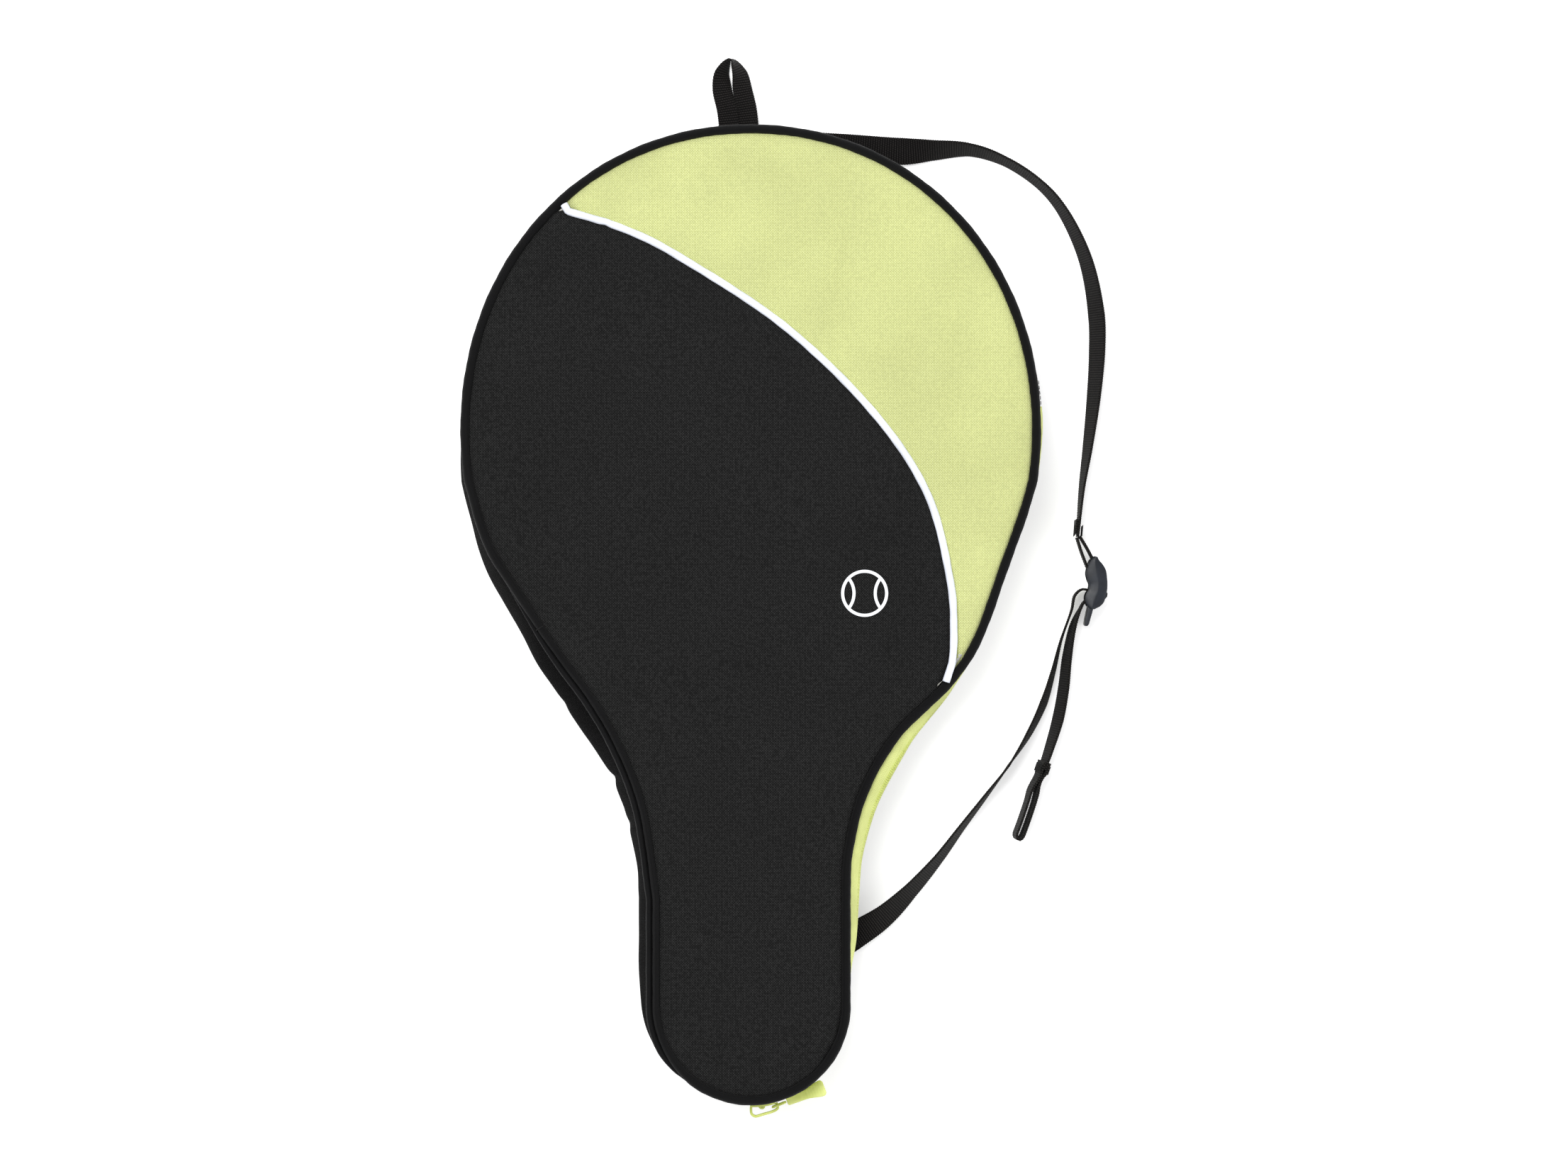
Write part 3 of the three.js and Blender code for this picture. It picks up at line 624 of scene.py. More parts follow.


# In the cloth, tape, cord, thread and webbing colours below, the first colour is the painted shade in the
# hollows and the second the painted highlight on the raised threads or ribs.
black_cloth = woven_cloth("black_cloth", rgb(3, 3, 3), rgb(54, 54, 54), 0.65, slub=0.35, specks=0.1)
# A darker copy of the black cloth for the side walls: its darker colours are painted shade. It also has less
# specular and no sheen.
shaded_gusset_cloth = woven_cloth(
    "shaded_gusset_cloth", rgb(3, 3, 3), rgb(28, 28, 28), 0.65, slub=0.3, specular=0.04, sheen=0.0
)
lime_cloth = woven_cloth(
    "lime_cloth", rgb(192, 198, 120), rgb(235, 240, 186), 0.65, slub=0.05
)
lining_cloth = woven_cloth("lining_cloth", rgb(36, 38, 42), rgb(58, 61, 66), 0.35, bump=0.08)
black_twill = twill_tape(
    "black_twill", rgb(2, 2, 2), rgb(17, 17, 18), 0.62, 1.8, roughness=0.6, specular=0.1
)
binding_tape = twill_tape("binding_tape", rgb(10, 10, 11), rgb(28, 28, 30), 0.5, 20.0)
white_cord = twill_tape("white_cord", rgb(222, 228, 243), rgb(243, 246, 255), 0.5, 40.0, bump=0.05)
lime_tape = twill_tape("lime_tape", rgb(192, 200, 112), rgb(224, 231, 156), 0.75, 1.5, bump=0.12)
webbing_cloth = ribbed_webbing("webbing_cloth", rgb(8, 7, 7), rgb(40, 38, 37))
thread_black = twill_tape("thread_black", rgb(14, 14, 14), rgb(44, 43, 43), 0.25, 30.0, bump=0.05)
thread_lime = twill_tape(
    "thread_lime", rgb(180, 190, 96), rgb(226, 233, 158), 0.25, 30.0, bump=0.05
)
coil_nylon = moulded("coil_nylon", rgb(190, 202, 92), rgb(215, 224, 128), 0.35, 0.6)
lime_paint = moulded("lime_paint", rgb(196, 207, 104), rgb(216, 225, 128), 0.3, 0.5, coat=0.35)
lime_rubber = moulded("lime_rubber", rgb(208, 218, 122), rgb(222, 230, 142), 0.55, 0.35, bump=0.03)
lock_plastic = moulded("lock_plastic", rgb(16, 20, 28), rgb(24, 29, 39), 0.4, 0.3, specular=0.35)
print_ink = moulded("print_ink", rgb(228, 231, 236), rgb(244, 246, 250), 0.6, 0.7, bump=0.04)
pale_foam = foam_sheet("pale_foam")


# ---------------------------------------------------------------- camera, light and floor
PHOTO_MIDDLE = (16.97, 263.7)  # what the middle of the picture shows, in case millimetres
PHOTO_WIDTH = 798.5  # how much of the front panel's level the picture is wide
FOCAL_LENGTH = 150.0
SENSOR_WIDTH = 36.0


def add_camera():
    data = bpy.data.cameras.new("camera")
    data.lens = FOCAL_LENGTH
    data.sensor_width = SENSOR_WIDTH
    camera = bpy.data.objects.new("camera", data)
    bpy.context.scene.collection.objects.link(camera)
    distance = PHOTO_WIDTH * FOCAL_LENGTH / SENSOR_WIDTH
    camera.location = row((*PHOTO_MIDDLE, CASE_DEPTH + distance))
    camera.rotation_euler = (0.0, 0.0, 0.0)
    data.clip_end = 100.0
    bpy.context.scene.camera = camera


def add_area_light(name, place, size, power, colour=(1.0, 1.0, 1.0)):
    data = bpy.data.lights.new(name, "AREA")
    data.shape = "RECTANGLE"
    data.size, data.size_y = size
    data.energy = power
    data.color = colour
    light = bpy.data.objects.new(name, data)
    bpy.context.scene.collection.objects.link(light)
    light.location = place
    aim = Vector((0.02, 0.02, 0.0)) - Vector(place)
    light.rotation_euler = aim.to_track_quat("-Z", "Y").to_euler()


def add_studio():
    scene = bpy.context.scene
    scene.view_settings.view_transform = "Standard"
    world = bpy.data.worlds.new("studio")
    scene.world = world
    world.use_nodes = True
    background = world.node_tree.nodes["Background"]
    background.inputs[0].default_value = (1.0, 1.0, 1.0, 1.0)
    background.inputs[1].default_value = 0.62
    add_area_light("overhead", (-0.5, 0.7, 2.2), (1.3, 1.0), 40.0)
    add_area_light("side", (1.9, -0.6, 1.3), (1.2, 1.6), 13.0)
    bpy.ops.mesh.primitive_grid_add(x_subdivisions=8, y_subdivisions=8, size=8.0)
    floor = bpy.context.object
    floor.name = "floor"
    shader = Shader("floor_paper", 0.95, 0.2)
    shader.colour(shader.mix(shader.noise(300.0), (0.93, 0.93, 0.93, 1.0), (0.95, 0.95, 0.95, 1.0)))
    shader.bsdf.inputs["Emission Color"].default_value = (1.0, 1.0, 1.0, 1.0)
    shader.bsdf.inputs["Emission Strength"].default_value = 0.45
    floor.data.materials.append(shader.material)


# ---------------------------------------------------------------- webbing
WALL_DEPTH = 2.0  # a strap's sewn end lies this far inside the outline, out of sight

# Each route is a list of x, y, lift and roll. Lift is how far the lower edge is above the floor.
# Roll is in degrees: 0 lies flat and 90 stands on edge.
UPPER_ROUTE = [
    (18, 492.3, 4.6, 4), (48, 490.6, 4.4, 10), (78.5, 488.9, 3, 24),
    (93, 489.4, 1.4, 48), (113, 489.6, 0.6, 69), (131, 483.7, 0.5, 77),
    (148.8, 471.9, 0.5, 77), (160, 459.1, 0.5, 74), (172.3, 433.5, 0.5, 67),
    (178.1, 404.4, 0.5, 59), (178.4, 385, 0.5, 60), (176.6, 361, 0.5, 66),
    (173.4, 335, 1, 75), (170.5, 315, 1.8, 83), (168.3, 290.4, 3, 90),
]
LOWER_ROUTE = [
    (174.4, 262.6, 3, 90), (170.3, 262.9, 3, 90), (166.8, 259.8, 3, 90),
    (165.2, 252.6, 2.9, 89), (159.7, 236.5, 1.8, 86), (155.7, 220.4, 0.8, 81),
    (150.8, 204.3, 0.5, 75), (143.1, 188.2, 0.5, 79), (132.8, 172.1, 0.5, 89),
    (120.8, 156.1, 0.5, 82), (108.5, 140, 0.5, 77), (96.5, 123.9, 0.8, 70),
    (82.4, 107.8, 1.6, 58), (68.5, 94.5, 3, 38), (52, 83.5, 4.5, 12),
]
TAIL_ROUTE = [
    (174.4, 258.2, 3, 90), (171.5, 256.4, 3, 90), (169.4, 252.6, 2.9, 89),
    (166.1, 244.5, 2.4, 81), (163, 228.4, 0.9, 75), (161.2, 212.4, 0.6, 72),
    (158.3, 196.3, 0.5, 71), (153.5, 180.2, 0.5, 76), (150.2, 170.5, 0.5, 79),
]
TAIL_END_ROUTE = [
    (149.7, 169.2, 0.5, 79), (146.4, 162, 0.5, 82), (143.8, 153, 0.5, 84),
    (139.9, 141.5, 0.5, 84), (137.2, 134.5, 0.5, 84),
]
HANG_LOOP_ROUTE = [
    (-10.9, 496, 6.3, 0), (-12.4, 510, 5.4, 3), (-14.9, 521, 3.4, 14),
    (-14.9, 529.5, 1.3, 46), (-10.5, 536.2, 0.5, 92), (-6.1, 529.5, 1.3, 137),
    (-4.5, 521, 2.8, 165), (-2.2, 510, 3.8, 177), (-0.8, 496, 4.4, 180),
]


def route_line(route, width, thickness, step=1.2):
    """Middle line, width direction and face direction of a band, every step mm."""
    knots = []
    for x, y, lift, roll in route:
        lean = math.radians(roll)
        low = (width * abs(math.sin(lean)) + thickness * abs(math.cos(lean))) / 2
        knots.append((x, y, lift + low))
    per_span = 40
    middle = catmull_rom(knots, per_span, centripetal=True)
    rolls = np.interp(
        np.linspace(0, len(route) - 1, len(middle)), range(len(route)), [r[3] for r in route]
    )
    line = evenly(np.column_stack([middle, rolls]), step)
    middle = line[:, :3]
    return middle, *band_frame(middle, line[:, 3])


def band_frame(middle, rolls):
    """Across and up directions for a band, turned about its line by rolls in degrees."""
    tangent = unit(np.gradient(middle, axis=0))
    flat = unit(np.cross(tangent, [0.0, 0.0, 1.0]))
    turn = np.radians(rolls)[:, None]
    across = flat * np.cos(turn) + np.cross(tangent, flat) * np.sin(turn)
    return across, np.cross(tangent, across)


def webbing_section(width, thickness):
    """A flat section with round selvedges."""
    edge = thickness * 0.45
    x = np.linspace(-width / 2 + edge, width / 2 - edge, 13)
    face = np.full(len(x), thickness / 2)
    right = ellipse_arc((width / 2 - edge, 0), (edge, thickness / 2), 65, -65, 5)
    left = ellipse_arc((-width / 2 + edge, 0), (edge, thickness / 2), 245, 115, 5)
    return np.vstack([np.column_stack([x, face]), right, np.column_stack([x, -face])[::-1], left])


def ribbed_sections(along, width, thickness, swell=None):
    """The webbing's section at each place along it: its cross ribs show on faces and edges."""
    rib = np.abs(np.sin(along * math.pi / WEBBING_RIB))
    scale = np.column_stack([1.0 - 0.22 / width * (1 - rib) * 2, 1.0 - 0.26 * (1 - rib)])
    if swell is not None:
        scale[:, 1] *= swell(along)
    return webbing_section(width, thickness)[None] * scale[:, None, :]


def from_outline(points):
    """How far points are outside the outline, the nearest places on it and its outward directions."""
    _, nearest = distance_to(points, OUTLINE)
    spot, outward = along_outline(OUTLINE_AT[nearest])
    return np.sum((points[:, :2] - spot) * outward, axis=1), spot, outward


def stretched(ring, run):
    """Carries each point of a strap's end along run until it is hidden in the case's wall."""
    for i, point in enumerate(ring):
        reach = point + np.arange(0, 14, 0.5)[:, None] * run
        hidden = np.where(from_outline(reach)[0] < -WALL_DEPTH)[0]
        if len(hidden):
            ring[i] = reach[hidden[0]]
    return ring


def tucked(points, along, buried):
    """Moves what is inside the case onto its wall, and hides the strap's first buried mm in it."""
    offset, spot, outward = from_outline(points)
    most = np.where(along < buried, -WALL_DEPTH, -WALL_DEPTH + 1.6 * (along - buried))
    most = np.where(buried > 0, most, 1e6)
    wanted = np.maximum(np.minimum(offset, most), -WALL_DEPTH)
    moved = np.abs(offset - wanted) > 1e-6
    points[moved, :2] = (spot + outward * wanted[:, None])[moved]
    return points


def band(name, route, width, thickness, swell=None, buried=None):
    """A strap along a route. swell(length along) may change its thickness."""
    middle, across, up = route_line(route, width, thickness, WEBBING_RIB / 4)
    along = lengths(middle)
    surface = Surface()
    sweep(surface, middle, across, up, ribbed_sections(along, width, thickness, swell))
    if buried is not None:
        round_section = (len(surface.points) - 2) // len(middle)
        where = np.concatenate([np.repeat(along, round_section), along[[0, -1]]])
        points = np.array(surface.points)
        points[:round_section] = stretched(points[:round_section], middle[0] - middle[4])
        points[-2] = points[:round_section].mean(axis=0)
        surface.points = list(tucked(points, where, buried))
    return surface.object(name, webbing_cloth), middle, across, up


def bartack(name, middle, across, up, at, width, thickness, rows=7):
    """Zigzag stitches across a strap, on both of its faces, about the point at mm along."""
    surface = Surface()
    along = lengths(middle)
    spot = np.array([np.interp(at, along, middle[:, k]) for k in range(3)])
    index = int(np.argmin(np.abs(along - at)))
    side, face = across[index], up[index]
    run = np.cross(side, face)
    stitches = 16
    for sign in (1, -1):
        zig = np.tile([0.0, 1.0], stitches)[: stitches + 1]
        for r in range(rows):
            x = np.linspace(-width / 2 + 1.0, width / 2 - 1.0, stitches + 1)
            y = (r - rows / 2 + 0.5) * 0.62 + zig * 0.5
            lift = sign * (thickness / 2 + 0.12 + 0.12 * np.abs(np.sin(np.arange(len(x)))))
            line = spot + x[:, None] * side + y[:, None] * run + lift[:, None] * face
            line = evenly(line, 0.45)
            tangent = unit(np.gradient(line, axis=0))
            level = unit(np.cross(tangent, face))
            sweep(surface, line, level, np.cross(tangent, level), circle_section(0.2, 5))
    return surface.object(name, thread_black)


def add_strap(name, route, replaced, width=STRAP_WIDTH,
              thickness=STRAP_THICKNESS, swell=None, buried=None):
    """A free strap: its piece and the CAD solids it stands for."""
    piece, middle, across, up = band(name, route, width, thickness, swell, buried)
    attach(piece, "case")
    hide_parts(*replaced)
    return piece, middle, across, up


def ride_as(piece, body, slot, *replaced):
    """A rigid piece: its body, its slot, which is not used, and the CAD nodes that it stands for."""
    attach(piece, body)
    if replaced:
        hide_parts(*replaced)
    return piece


def bend_as(piece, slot, *replaced, height_share=None):
    """A piece of cloth that bends with the flap."""
    blend_over_fold(piece, height_share)
    if replaced:
        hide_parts(*replaced)
    return piece


# ---------------------------------------------------------------- ladder lock
# It lies on its side: its bars are upright and its side frames lie flat.
TOP_BAR = (175.0, 275.5)
MIDDLE_BAR = (180.6, 260.4)
BAR_RADIUS = 1.2
LOCK_LOW = 0.5
LOCK_HIGH = 20.5
LOCK_SIDE = 2.1
WEB_LOW = 3.0
WEB_HIGH = WEB_LOW + STRAP_WIDTH
LOCK_SPINE = [  # x, y and half width of the crescent, from its top to its thumb end
    (177.3, 279.9, 0.8), (176.8, 277, 3.0), (177.3, 273, 4.8), (177.8, 270, 5.1), (178.6, 266, 4.6),
    (178.2, 262, 4.7), (176.6, 258, 5.0), (175.7, 255, 3.6), (175.3, 252.9, 1.2),
]
LOCK_PROFILE = np.array([  # the side frame's section: flat inside, a ridge along its outer face
    (-1, -0.45), (-0.86, -1), (-0.4, -1), (0, -1), (0.4, -1), (0.86, -1), (1, -0.45), (1, 0.1),
    (0.82, 0.45), (0.45, 0.62), (0.1, 1), (-0.1, 1), (-0.45, 0.62), (-0.82, 0.45), (-1, 0.1),
])


def lock_side(surface, low, high, outer_face):
    """One side frame: a curved plate with a ridge along the middle of its outer face."""
    spine = catmull_rom(LOCK_SPINE, 10)
    tangent = unit(np.gradient(spine[:, :2], axis=0))
    across = np.column_stack([tangent[:, 1], -tangent[:, 0], np.zeros(len(spine))])
    middle = np.column_stack([spine[:, :2], np.full(len(spine), (low + high) / 2)])
    half = np.full(len(spine), outer_face * (high - low) / 2)
    sections = LOCK_PROFILE[None] * np.column_stack([spine[:, 2], half])[:, None, :]
    sweep(surface, middle, across, np.broadcast_to([0.0, 0.0, 1.0], across.shape), sections)


def add_ladder_lock():
    surface = Surface()
    lock_side(surface, LOCK_LOW, LOCK_LOW + LOCK_SIDE, -1)
    lock_side(surface, LOCK_HIGH - LOCK_SIDE, LOCK_HIGH, 1)
    for x, y in (TOP_BAR, MIDDLE_BAR):
        z = np.linspace(LOCK_LOW + 1, LOCK_HIGH - 1, 24)
        middle = np.column_stack([np.full(24, x), np.full(24, y), z])
        sweep(surface, middle, np.tile([1.0, 0, 0], (24, 1)), np.tile([0, 1.0, 0], (24, 1)),
              circle_section(BAR_RADIUS, 14))
    sides = surface.object("lock_frame", lock_plastic)
    shade_by_angle(sides, 50)
    tongue = prism(
        "lock_tongue",
        [(173.6, 255.5), (176.6, 255.5), (175.4, 251.0), (174.4, 247.5), (173.8, 245.2),
         (173.0, 244.2), (172.1, 244.1), (171.5, 244.9), (171.9, 248.0), (172.7, 251.5)],
        LOCK_LOW + 1, LOCK_HIGH - 1, 0.35, lock_plastic,
    )
    lock = joined("ladder_lock_frame", [sides, tongue])
    return ride_as(lock, "ladder_lock", "ladder_lock", "ladder_lock")


def webbing_round_bar(name, bar, open_towards, legs, flare=0.0):
    """Webbing bent round an upright bar, open towards a direction in degrees."""
    radius = BAR_RADIUS + 0.3 + STRAP_THICKNESS / 2
    bend = ellipse_arc((0, 0), (radius, radius), 90, 270, 24)
    start = np.array([[legs, radius + flare], [legs * 0.5, radius + flare * 0.3]])
    end = start[::-1] * [1, -1]
    line = evenly(catmull_rom(np.vstack([start, bend, end]), 4), WEBBING_RIB / 4)
    turn = math.radians(open_towards)
    x = bar[0] + line[:, 0] * math.cos(turn) - line[:, 1] * math.sin(turn)
    y = bar[1] + line[:, 0] * math.sin(turn) + line[:, 1] * math.cos(turn)
    middle = np.column_stack([x, y, np.full(len(x), (WEB_LOW + WEB_HIGH) / 2)])
    tangent = unit(np.gradient(middle, axis=0))
    width_way = upright(len(middle))
    surface = Surface()
    sweep(surface, middle, width_way, np.cross(tangent, width_way),
          ribbed_sections(lengths(middle), STRAP_WIDTH, STRAP_THICKNESS))
    return surface.object(name, webbing_cloth)


def folded_end(name, middle, across, up, start, length, thick):
    """The webbing's end turned back on itself, lying beside a stretch of the strap."""
    along = lengths(middle)
    keep = (along >= start) & (along <= start + length)
    line = middle[keep] + up[keep] * thick
    surface = Surface()
    sweep(surface, line, across[keep], up[keep],
          ribbed_sections(lengths(line), STRAP_WIDTH, STRAP_THICKNESS))
    return surface.object(name, webbing_cloth)


def add_tail_loop():
    """The strap's free end, folded back into a flat loop with a dark slit and a round end."""
    route = [(151.4, 174.2, 0.5, 78), *TAIL_END_ROUTE]
    middle, across, up = route_line(route, STRAP_WIDTH, 3.2, WEBBING_RIB / 4)
    along = lengths(middle)
    total = along[-1]
    gap = 1.35 - 0.6 * smoothstep((along - 5) / 3) + 1.1 * smoothstep((along - 9) / 9)
    gap *= np.sqrt(np.clip(1 - ((along - (total - 3)) / 3.2).clip(0, 1) ** 2, 0.0, 1))
    out = middle + up * gap[:, None]
    back = middle - up * gap[:, None]
    line = np.vstack([out, back[::-1]])
    wide = np.vstack([across, across[::-1]])
    even = evenly(np.column_stack([line, wide]), WEBBING_RIB / 4)
    line, wide = even[:, :3], unit(even[:, 3:])
    tangent = unit(np.gradient(line, axis=0))
    face = unit(np.cross(tangent, wide))
    surface = Surface()
    sweep(surface, line, wide, face, ribbed_sections(lengths(line), STRAP_WIDTH, STRAP_THICKNESS))
    loop = surface.object("strap_tail_loop", webbing_cloth)
    ride_as(loop, "case", "webbing", "strap_tail_fold")
    tack = bartack("tail_bartack", middle, across, up, 3.6, STRAP_WIDTH, 4.2)
    ride_as(tack, "case", "webbing")
    return loop, tack


def add_webbing():
    lock = add_ladder_lock()
    wrap = webbing_round_bar("strap_wrap_band", MIDDLE_BAR, 180, 5.6)
    ride_as(wrap, "ladder_lock", "webbing", "strap_wrap")
    loop = webbing_round_bar("strap_upper_loop_band", TOP_BAR, 114, 15.9, -1.35)
    ride_as(loop, "case", "webbing", "strap_upper_loop")
    tack_line = route_line(UPPER_ROUTE, STRAP_WIDTH, STRAP_THICKNESS)
    upper_length = lengths(tack_line[0])[-1]
    tack = bartack("upper_bartack", *tack_line, upper_length - 3.0, STRAP_WIDTH, 3.4, rows=9)
    ride_as(tack, "case", "webbing")
    fold = folded_end("upper_end_fold", *tack_line, upper_length - 9.0, 8.5, -1.45)
    ride_as(fold, "case", "webbing")
    add_strap("strap_upper_band", UPPER_ROUTE, ["strap_upper"],
              buried=10.0)
    add_strap("strap_lower_band", LOWER_ROUTE[::-1], ["strap_lower"],
              buried=0.0)
    tail_loop, tail_tack = add_tail_loop()
    add_strap("strap_tail_band", TAIL_ROUTE, ["strap_tail"])
    add_strap("hang_loop_band", HANG_LOOP_ROUTE, ["hang_loop"],
              width=LOOP_WIDTH, thickness=1.2, buried=0.0)


# ---------------------------------------------------------------- front and rear covers
SEAM_ROUTE = [
    (-95, 459), (-93, 455.5), (-64, 446.3), (-36, 432.2), (17, 397.2), (62, 353.7),
    (89.8, 312), (101.5, 268), (103.4, 240), (102.6, 225.5), (99.5, 216),
]


def seam_line():
    """The seam between the two front colours, from piping to piping."""
    line = np.vstack([SEAM_ROUTE[0], catmull_rom(SEAM_ROUTE[1:-1], 60), SEAM_ROUTE[-1]])
    return evenly(line, 0.5, 2)


SEAM_LINE = seam_line()


def distance_to(points, line):
    """How far each point is from a finely sampled line, and the nearest sample's number."""
    points = np.asarray(points, float)[:, :2]
    best = np.full(len(points), 1e9)
    nearest = np.zeros(len(points), int)
    for start in range(0, len(points), 2000):
        part = points[start:start + 2000]
        gap = np.hypot(part[:, None, 0] - line[None, :, 0], part[:, None, 1] - line[None, :, 1])
        nearest[start:start + 2000] = gap.argmin(1)
        best[start:start + 2000] = gap.min(1)
    return best, nearest


def offset_line(line, offset):
    tangent = unit(np.gradient(line, axis=0))
    sideways = np.column_stack([tangent[:, 1], -tangent[:, 0]])
    return line + np.broadcast_to(offset, len(line))[:, None] * sideways


def inset_loop(inset, step=2.4):
    s = np.arange(0.0, OUTLINE_LENGTH - step / 2, step)
    return offset_outline(s, np.full(len(s), -inset)), s


def two_colour_loops(inset, beside):
    """Outlines of the lime and the black cover: the inset outline cut along the seam."""
    loop, _ = inset_loop(inset)
    inside, _ = distance_to(SEAM_LINE, OUTLINE)
    seam = SEAM_LINE[inside > inset + 0.2]
    seam = evenly(seam, 2.4, 2)
    to_left = int(np.argmin(np.hypot(*(loop - seam[0]).T)))
    to_right = int(np.argmin(np.hypot(*(loop - seam[-1]).T)))
    lime_side = offset_line(seam, -beside)  # the seam runs down to the right, lime is on its left
    black_side = offset_line(seam, beside)
    lime = np.vstack([loop[to_right + 1:to_left], lime_side])
    black = np.vstack([loop[to_left + 1:], loop[:to_right], black_side[::-1]])
    return lime, black


def fill_loop(loop, rows, spacing):
    """Triangles inside a loop: its own points, the given rows of points and an even grid."""
    low, high = loop.min(0), loop.max(0)
    xs = np.arange(low[0], high[0], spacing)
    ys = np.arange(low[1], high[1], spacing * 0.866)
    grid_x, grid_y = np.meshgrid(xs, ys)
    grid_x = grid_x + (np.arange(len(ys)) % 2)[:, None] * spacing / 2
    grid = np.column_stack([grid_x.ravel(), grid_y.ravel()])
    fixed = np.vstack([loop, *rows])
    clear, _ = distance_to(grid, fixed)
    grid = grid[clear > spacing * 0.75]
    points = np.vstack([fixed, grid])
    result = delaunay_2d_cdt(
        [Vector(p) for p in points], [], [list(range(len(loop)))], 1, 1e-4
    )
    spots = np.array([tuple(v) for v in result[0]])
    faces = [f for f in result[2] if len(f) == 3]
    used = np.unique(faces)
    number = np.full(len(spots), -1)
    number[used] = np.arange(len(used))
    return spots[used], number[np.array(faces)]


def cloth_slab(name, spots, faces, top, thickness, material):
    """A closed sheet of cloth over triangles.

    top gives its upper side, or its lower side if thickness is negative.
    """
    count = len(spots)
    upper = np.column_stack([spots, top])
    lower = np.column_stack([spots, top - thickness])
    edges = np.sort(faces[:, [[0, 1], [1, 2], [2, 0]]].reshape(-1, 2), axis=1)
    _, first, counts = np.unique(edges, axis=0, return_index=True, return_counts=True)
    rim = faces[:, [[0, 1], [1, 2], [2, 0]]].reshape(-1, 2)[first[counts == 1]]
    sides = [[b, a, a + count, b + count] for a, b in rim]
    surface = Surface()
    surface.points = [*upper, *lower]
    surface.faces = faces.tolist() + (faces[:, ::-1] + count).tolist() + sides
    for face in surface.faces:
        surface.corners.extend([spots[i % count] * MM for i in face])
    return surface.object(name, material)


def wave(points, size, seed, directions=7):
    """Smooth seeded unevenness of about that size, between about -1 and 1."""
    random = np.random.default_rng(seed)
    total = np.zeros(len(points))
    for _ in range(directions):
        angle = random.uniform(0, 2 * math.pi)
        length = size * random.uniform(0.7, 1.6)
        phase = random.uniform(0, 2 * math.pi)
        line = points[:, 0] * math.cos(angle) + points[:, 1] * math.sin(angle)
        total += np.sin(line * 2 * math.pi / length + phase)
    return total / math.sqrt(directions)


def cover_height(spots):
    """How the padded front stands: a crown, an edge that turns down, a valley along the seam."""
    inside, where = distance_to(spots, OUTLINE)
    inside = inside - TUCK
    height = 49.6 + 1.3 * (1 - np.exp(-inside / 14.0)) - 3.5 * np.exp(-np.clip(inside, 0, None) / 2.1)
    pucker = np.sin(OUTLINE_AT[where] * 2 * math.pi / 6.3 + 1.5 * np.sin(OUTLINE_AT[where] / 17.0))
    height += 0.12 * pucker * np.exp(-((inside - 3.0) / 3.0) ** 2)
    height += 0.35 * wave(spots, 90.0, 3) * smoothstep(inside / 30.0)
    beside, near = distance_to(spots, SEAM_LINE)
    height -= 0.75 * np.exp(-(((beside - 1.2).clip(0)) / 2.6) ** 1.3)
    pull = np.sin(near * 0.5 * 2 * math.pi / 7.5 + 2.0 * np.sin(near * 0.5 / 23.0))
    tip = smoothstep((near * 0.5 / (len(SEAM_LINE) * 0.5) - 0.82) / 0.15)
    height += (0.1 + 0.22 * tip) * pull * np.exp(-((beside - 4.0) / 3.4) ** 2)
    return height


def inflate(spots, faces, top, pressure, most):
    """Cloth simulation of a cover sewn down round its rim, pressed up by the foam under it."""
    mesh = bpy.data.meshes.new("cover_sim")
    mesh.from_pydata([tuple(p) for p in np.column_stack([spots, top]) * MM], [], faces.tolist())
    sheet = bpy.data.objects.new("cover_sim", mesh)
    bpy.context.scene.collection.objects.link(sheet)
    edges = np.sort(faces[:, [[0, 1], [1, 2], [2, 0]]].reshape(-1, 2), axis=1)
    unique, counts = np.unique(edges, axis=0, return_counts=True)
    rim = np.unique(unique[counts == 1])
    sewn = sheet.vertex_groups.new(name="sewn")
    sewn.add([int(i) for i in rim], 1.0, "REPLACE")
    modifier = sheet.modifiers.new("Cloth", "CLOTH")
    cloth = modifier.settings
    cloth.vertex_group_mass = "sewn"
    cloth.quality = 5
    cloth.mass = 0.35
    cloth.tension_stiffness = 25
    cloth.compression_stiffness = 25
    cloth.shear_stiffness = 8
    cloth.bending_stiffness = 2.0
    cloth.shrink_min = -0.012
    cloth.use_pressure = True
    cloth.uniform_pressure_force = pressure
    cloth.effector_weights.gravity = 0
    scene = bpy.context.scene
    for number in range(1, 21):
        scene.frame_set(number)
    settled = sheet.evaluated_get(bpy.context.evaluated_depsgraph_get()).data
    heights = np.array([v.co.z for v in settled.vertices]) / MM
    scene.frame_set(1)
    bpy.data.objects.remove(sheet)
    change = np.clip(heights - top, -0.25 * most, most)
    for _ in range(6):
        total = np.zeros(len(top))
        for a, b in (unique.T, unique.T[::-1]):
            np.add.at(total, a, change[b])
        neighbours = np.bincount(unique.ravel(), minlength=len(top))
        change = 0.5 * change + 0.5 * total / neighbours
        change[rim] = 0.0
    return top + change


front_points = []  # places on the finished front, for what is printed on it


def front_height(points):
    """Height of the finished front at some places, from its nearest points."""
    known = np.vstack(front_points)
    heights = []
    for point in points:
        gap = np.hypot(*(known[:, :2] - point).T)
        near = np.argsort(gap)[:4]
        share = 1 / (gap[near] + 0.1) ** 2
        heights.append(np.sum(known[near, 2] * share) / share.sum())
    return np.array(heights)


def add_cover(name, loop, rows, slot, material, nodes, pressure):
    spots, faces = fill_loop(loop, rows, 2.9)
    top = cover_height(spots)
    top = inflate(spots, faces, top, pressure, 1.2)
    front_points.append(np.column_stack([spots, top]))
    piece = cloth_slab(name, spots, faces, top, 0.8, material)
    bend_as(piece, slot, *nodes)
    return piece


def rim_rows(insets, keep):
    """Rows of points just inside the outline, kept where keep says so."""
    rows = []
    for inset in insets:
        loop, _ = inset_loop(inset, 2.6)
        rows.append(loop[keep(loop)])
    return rows


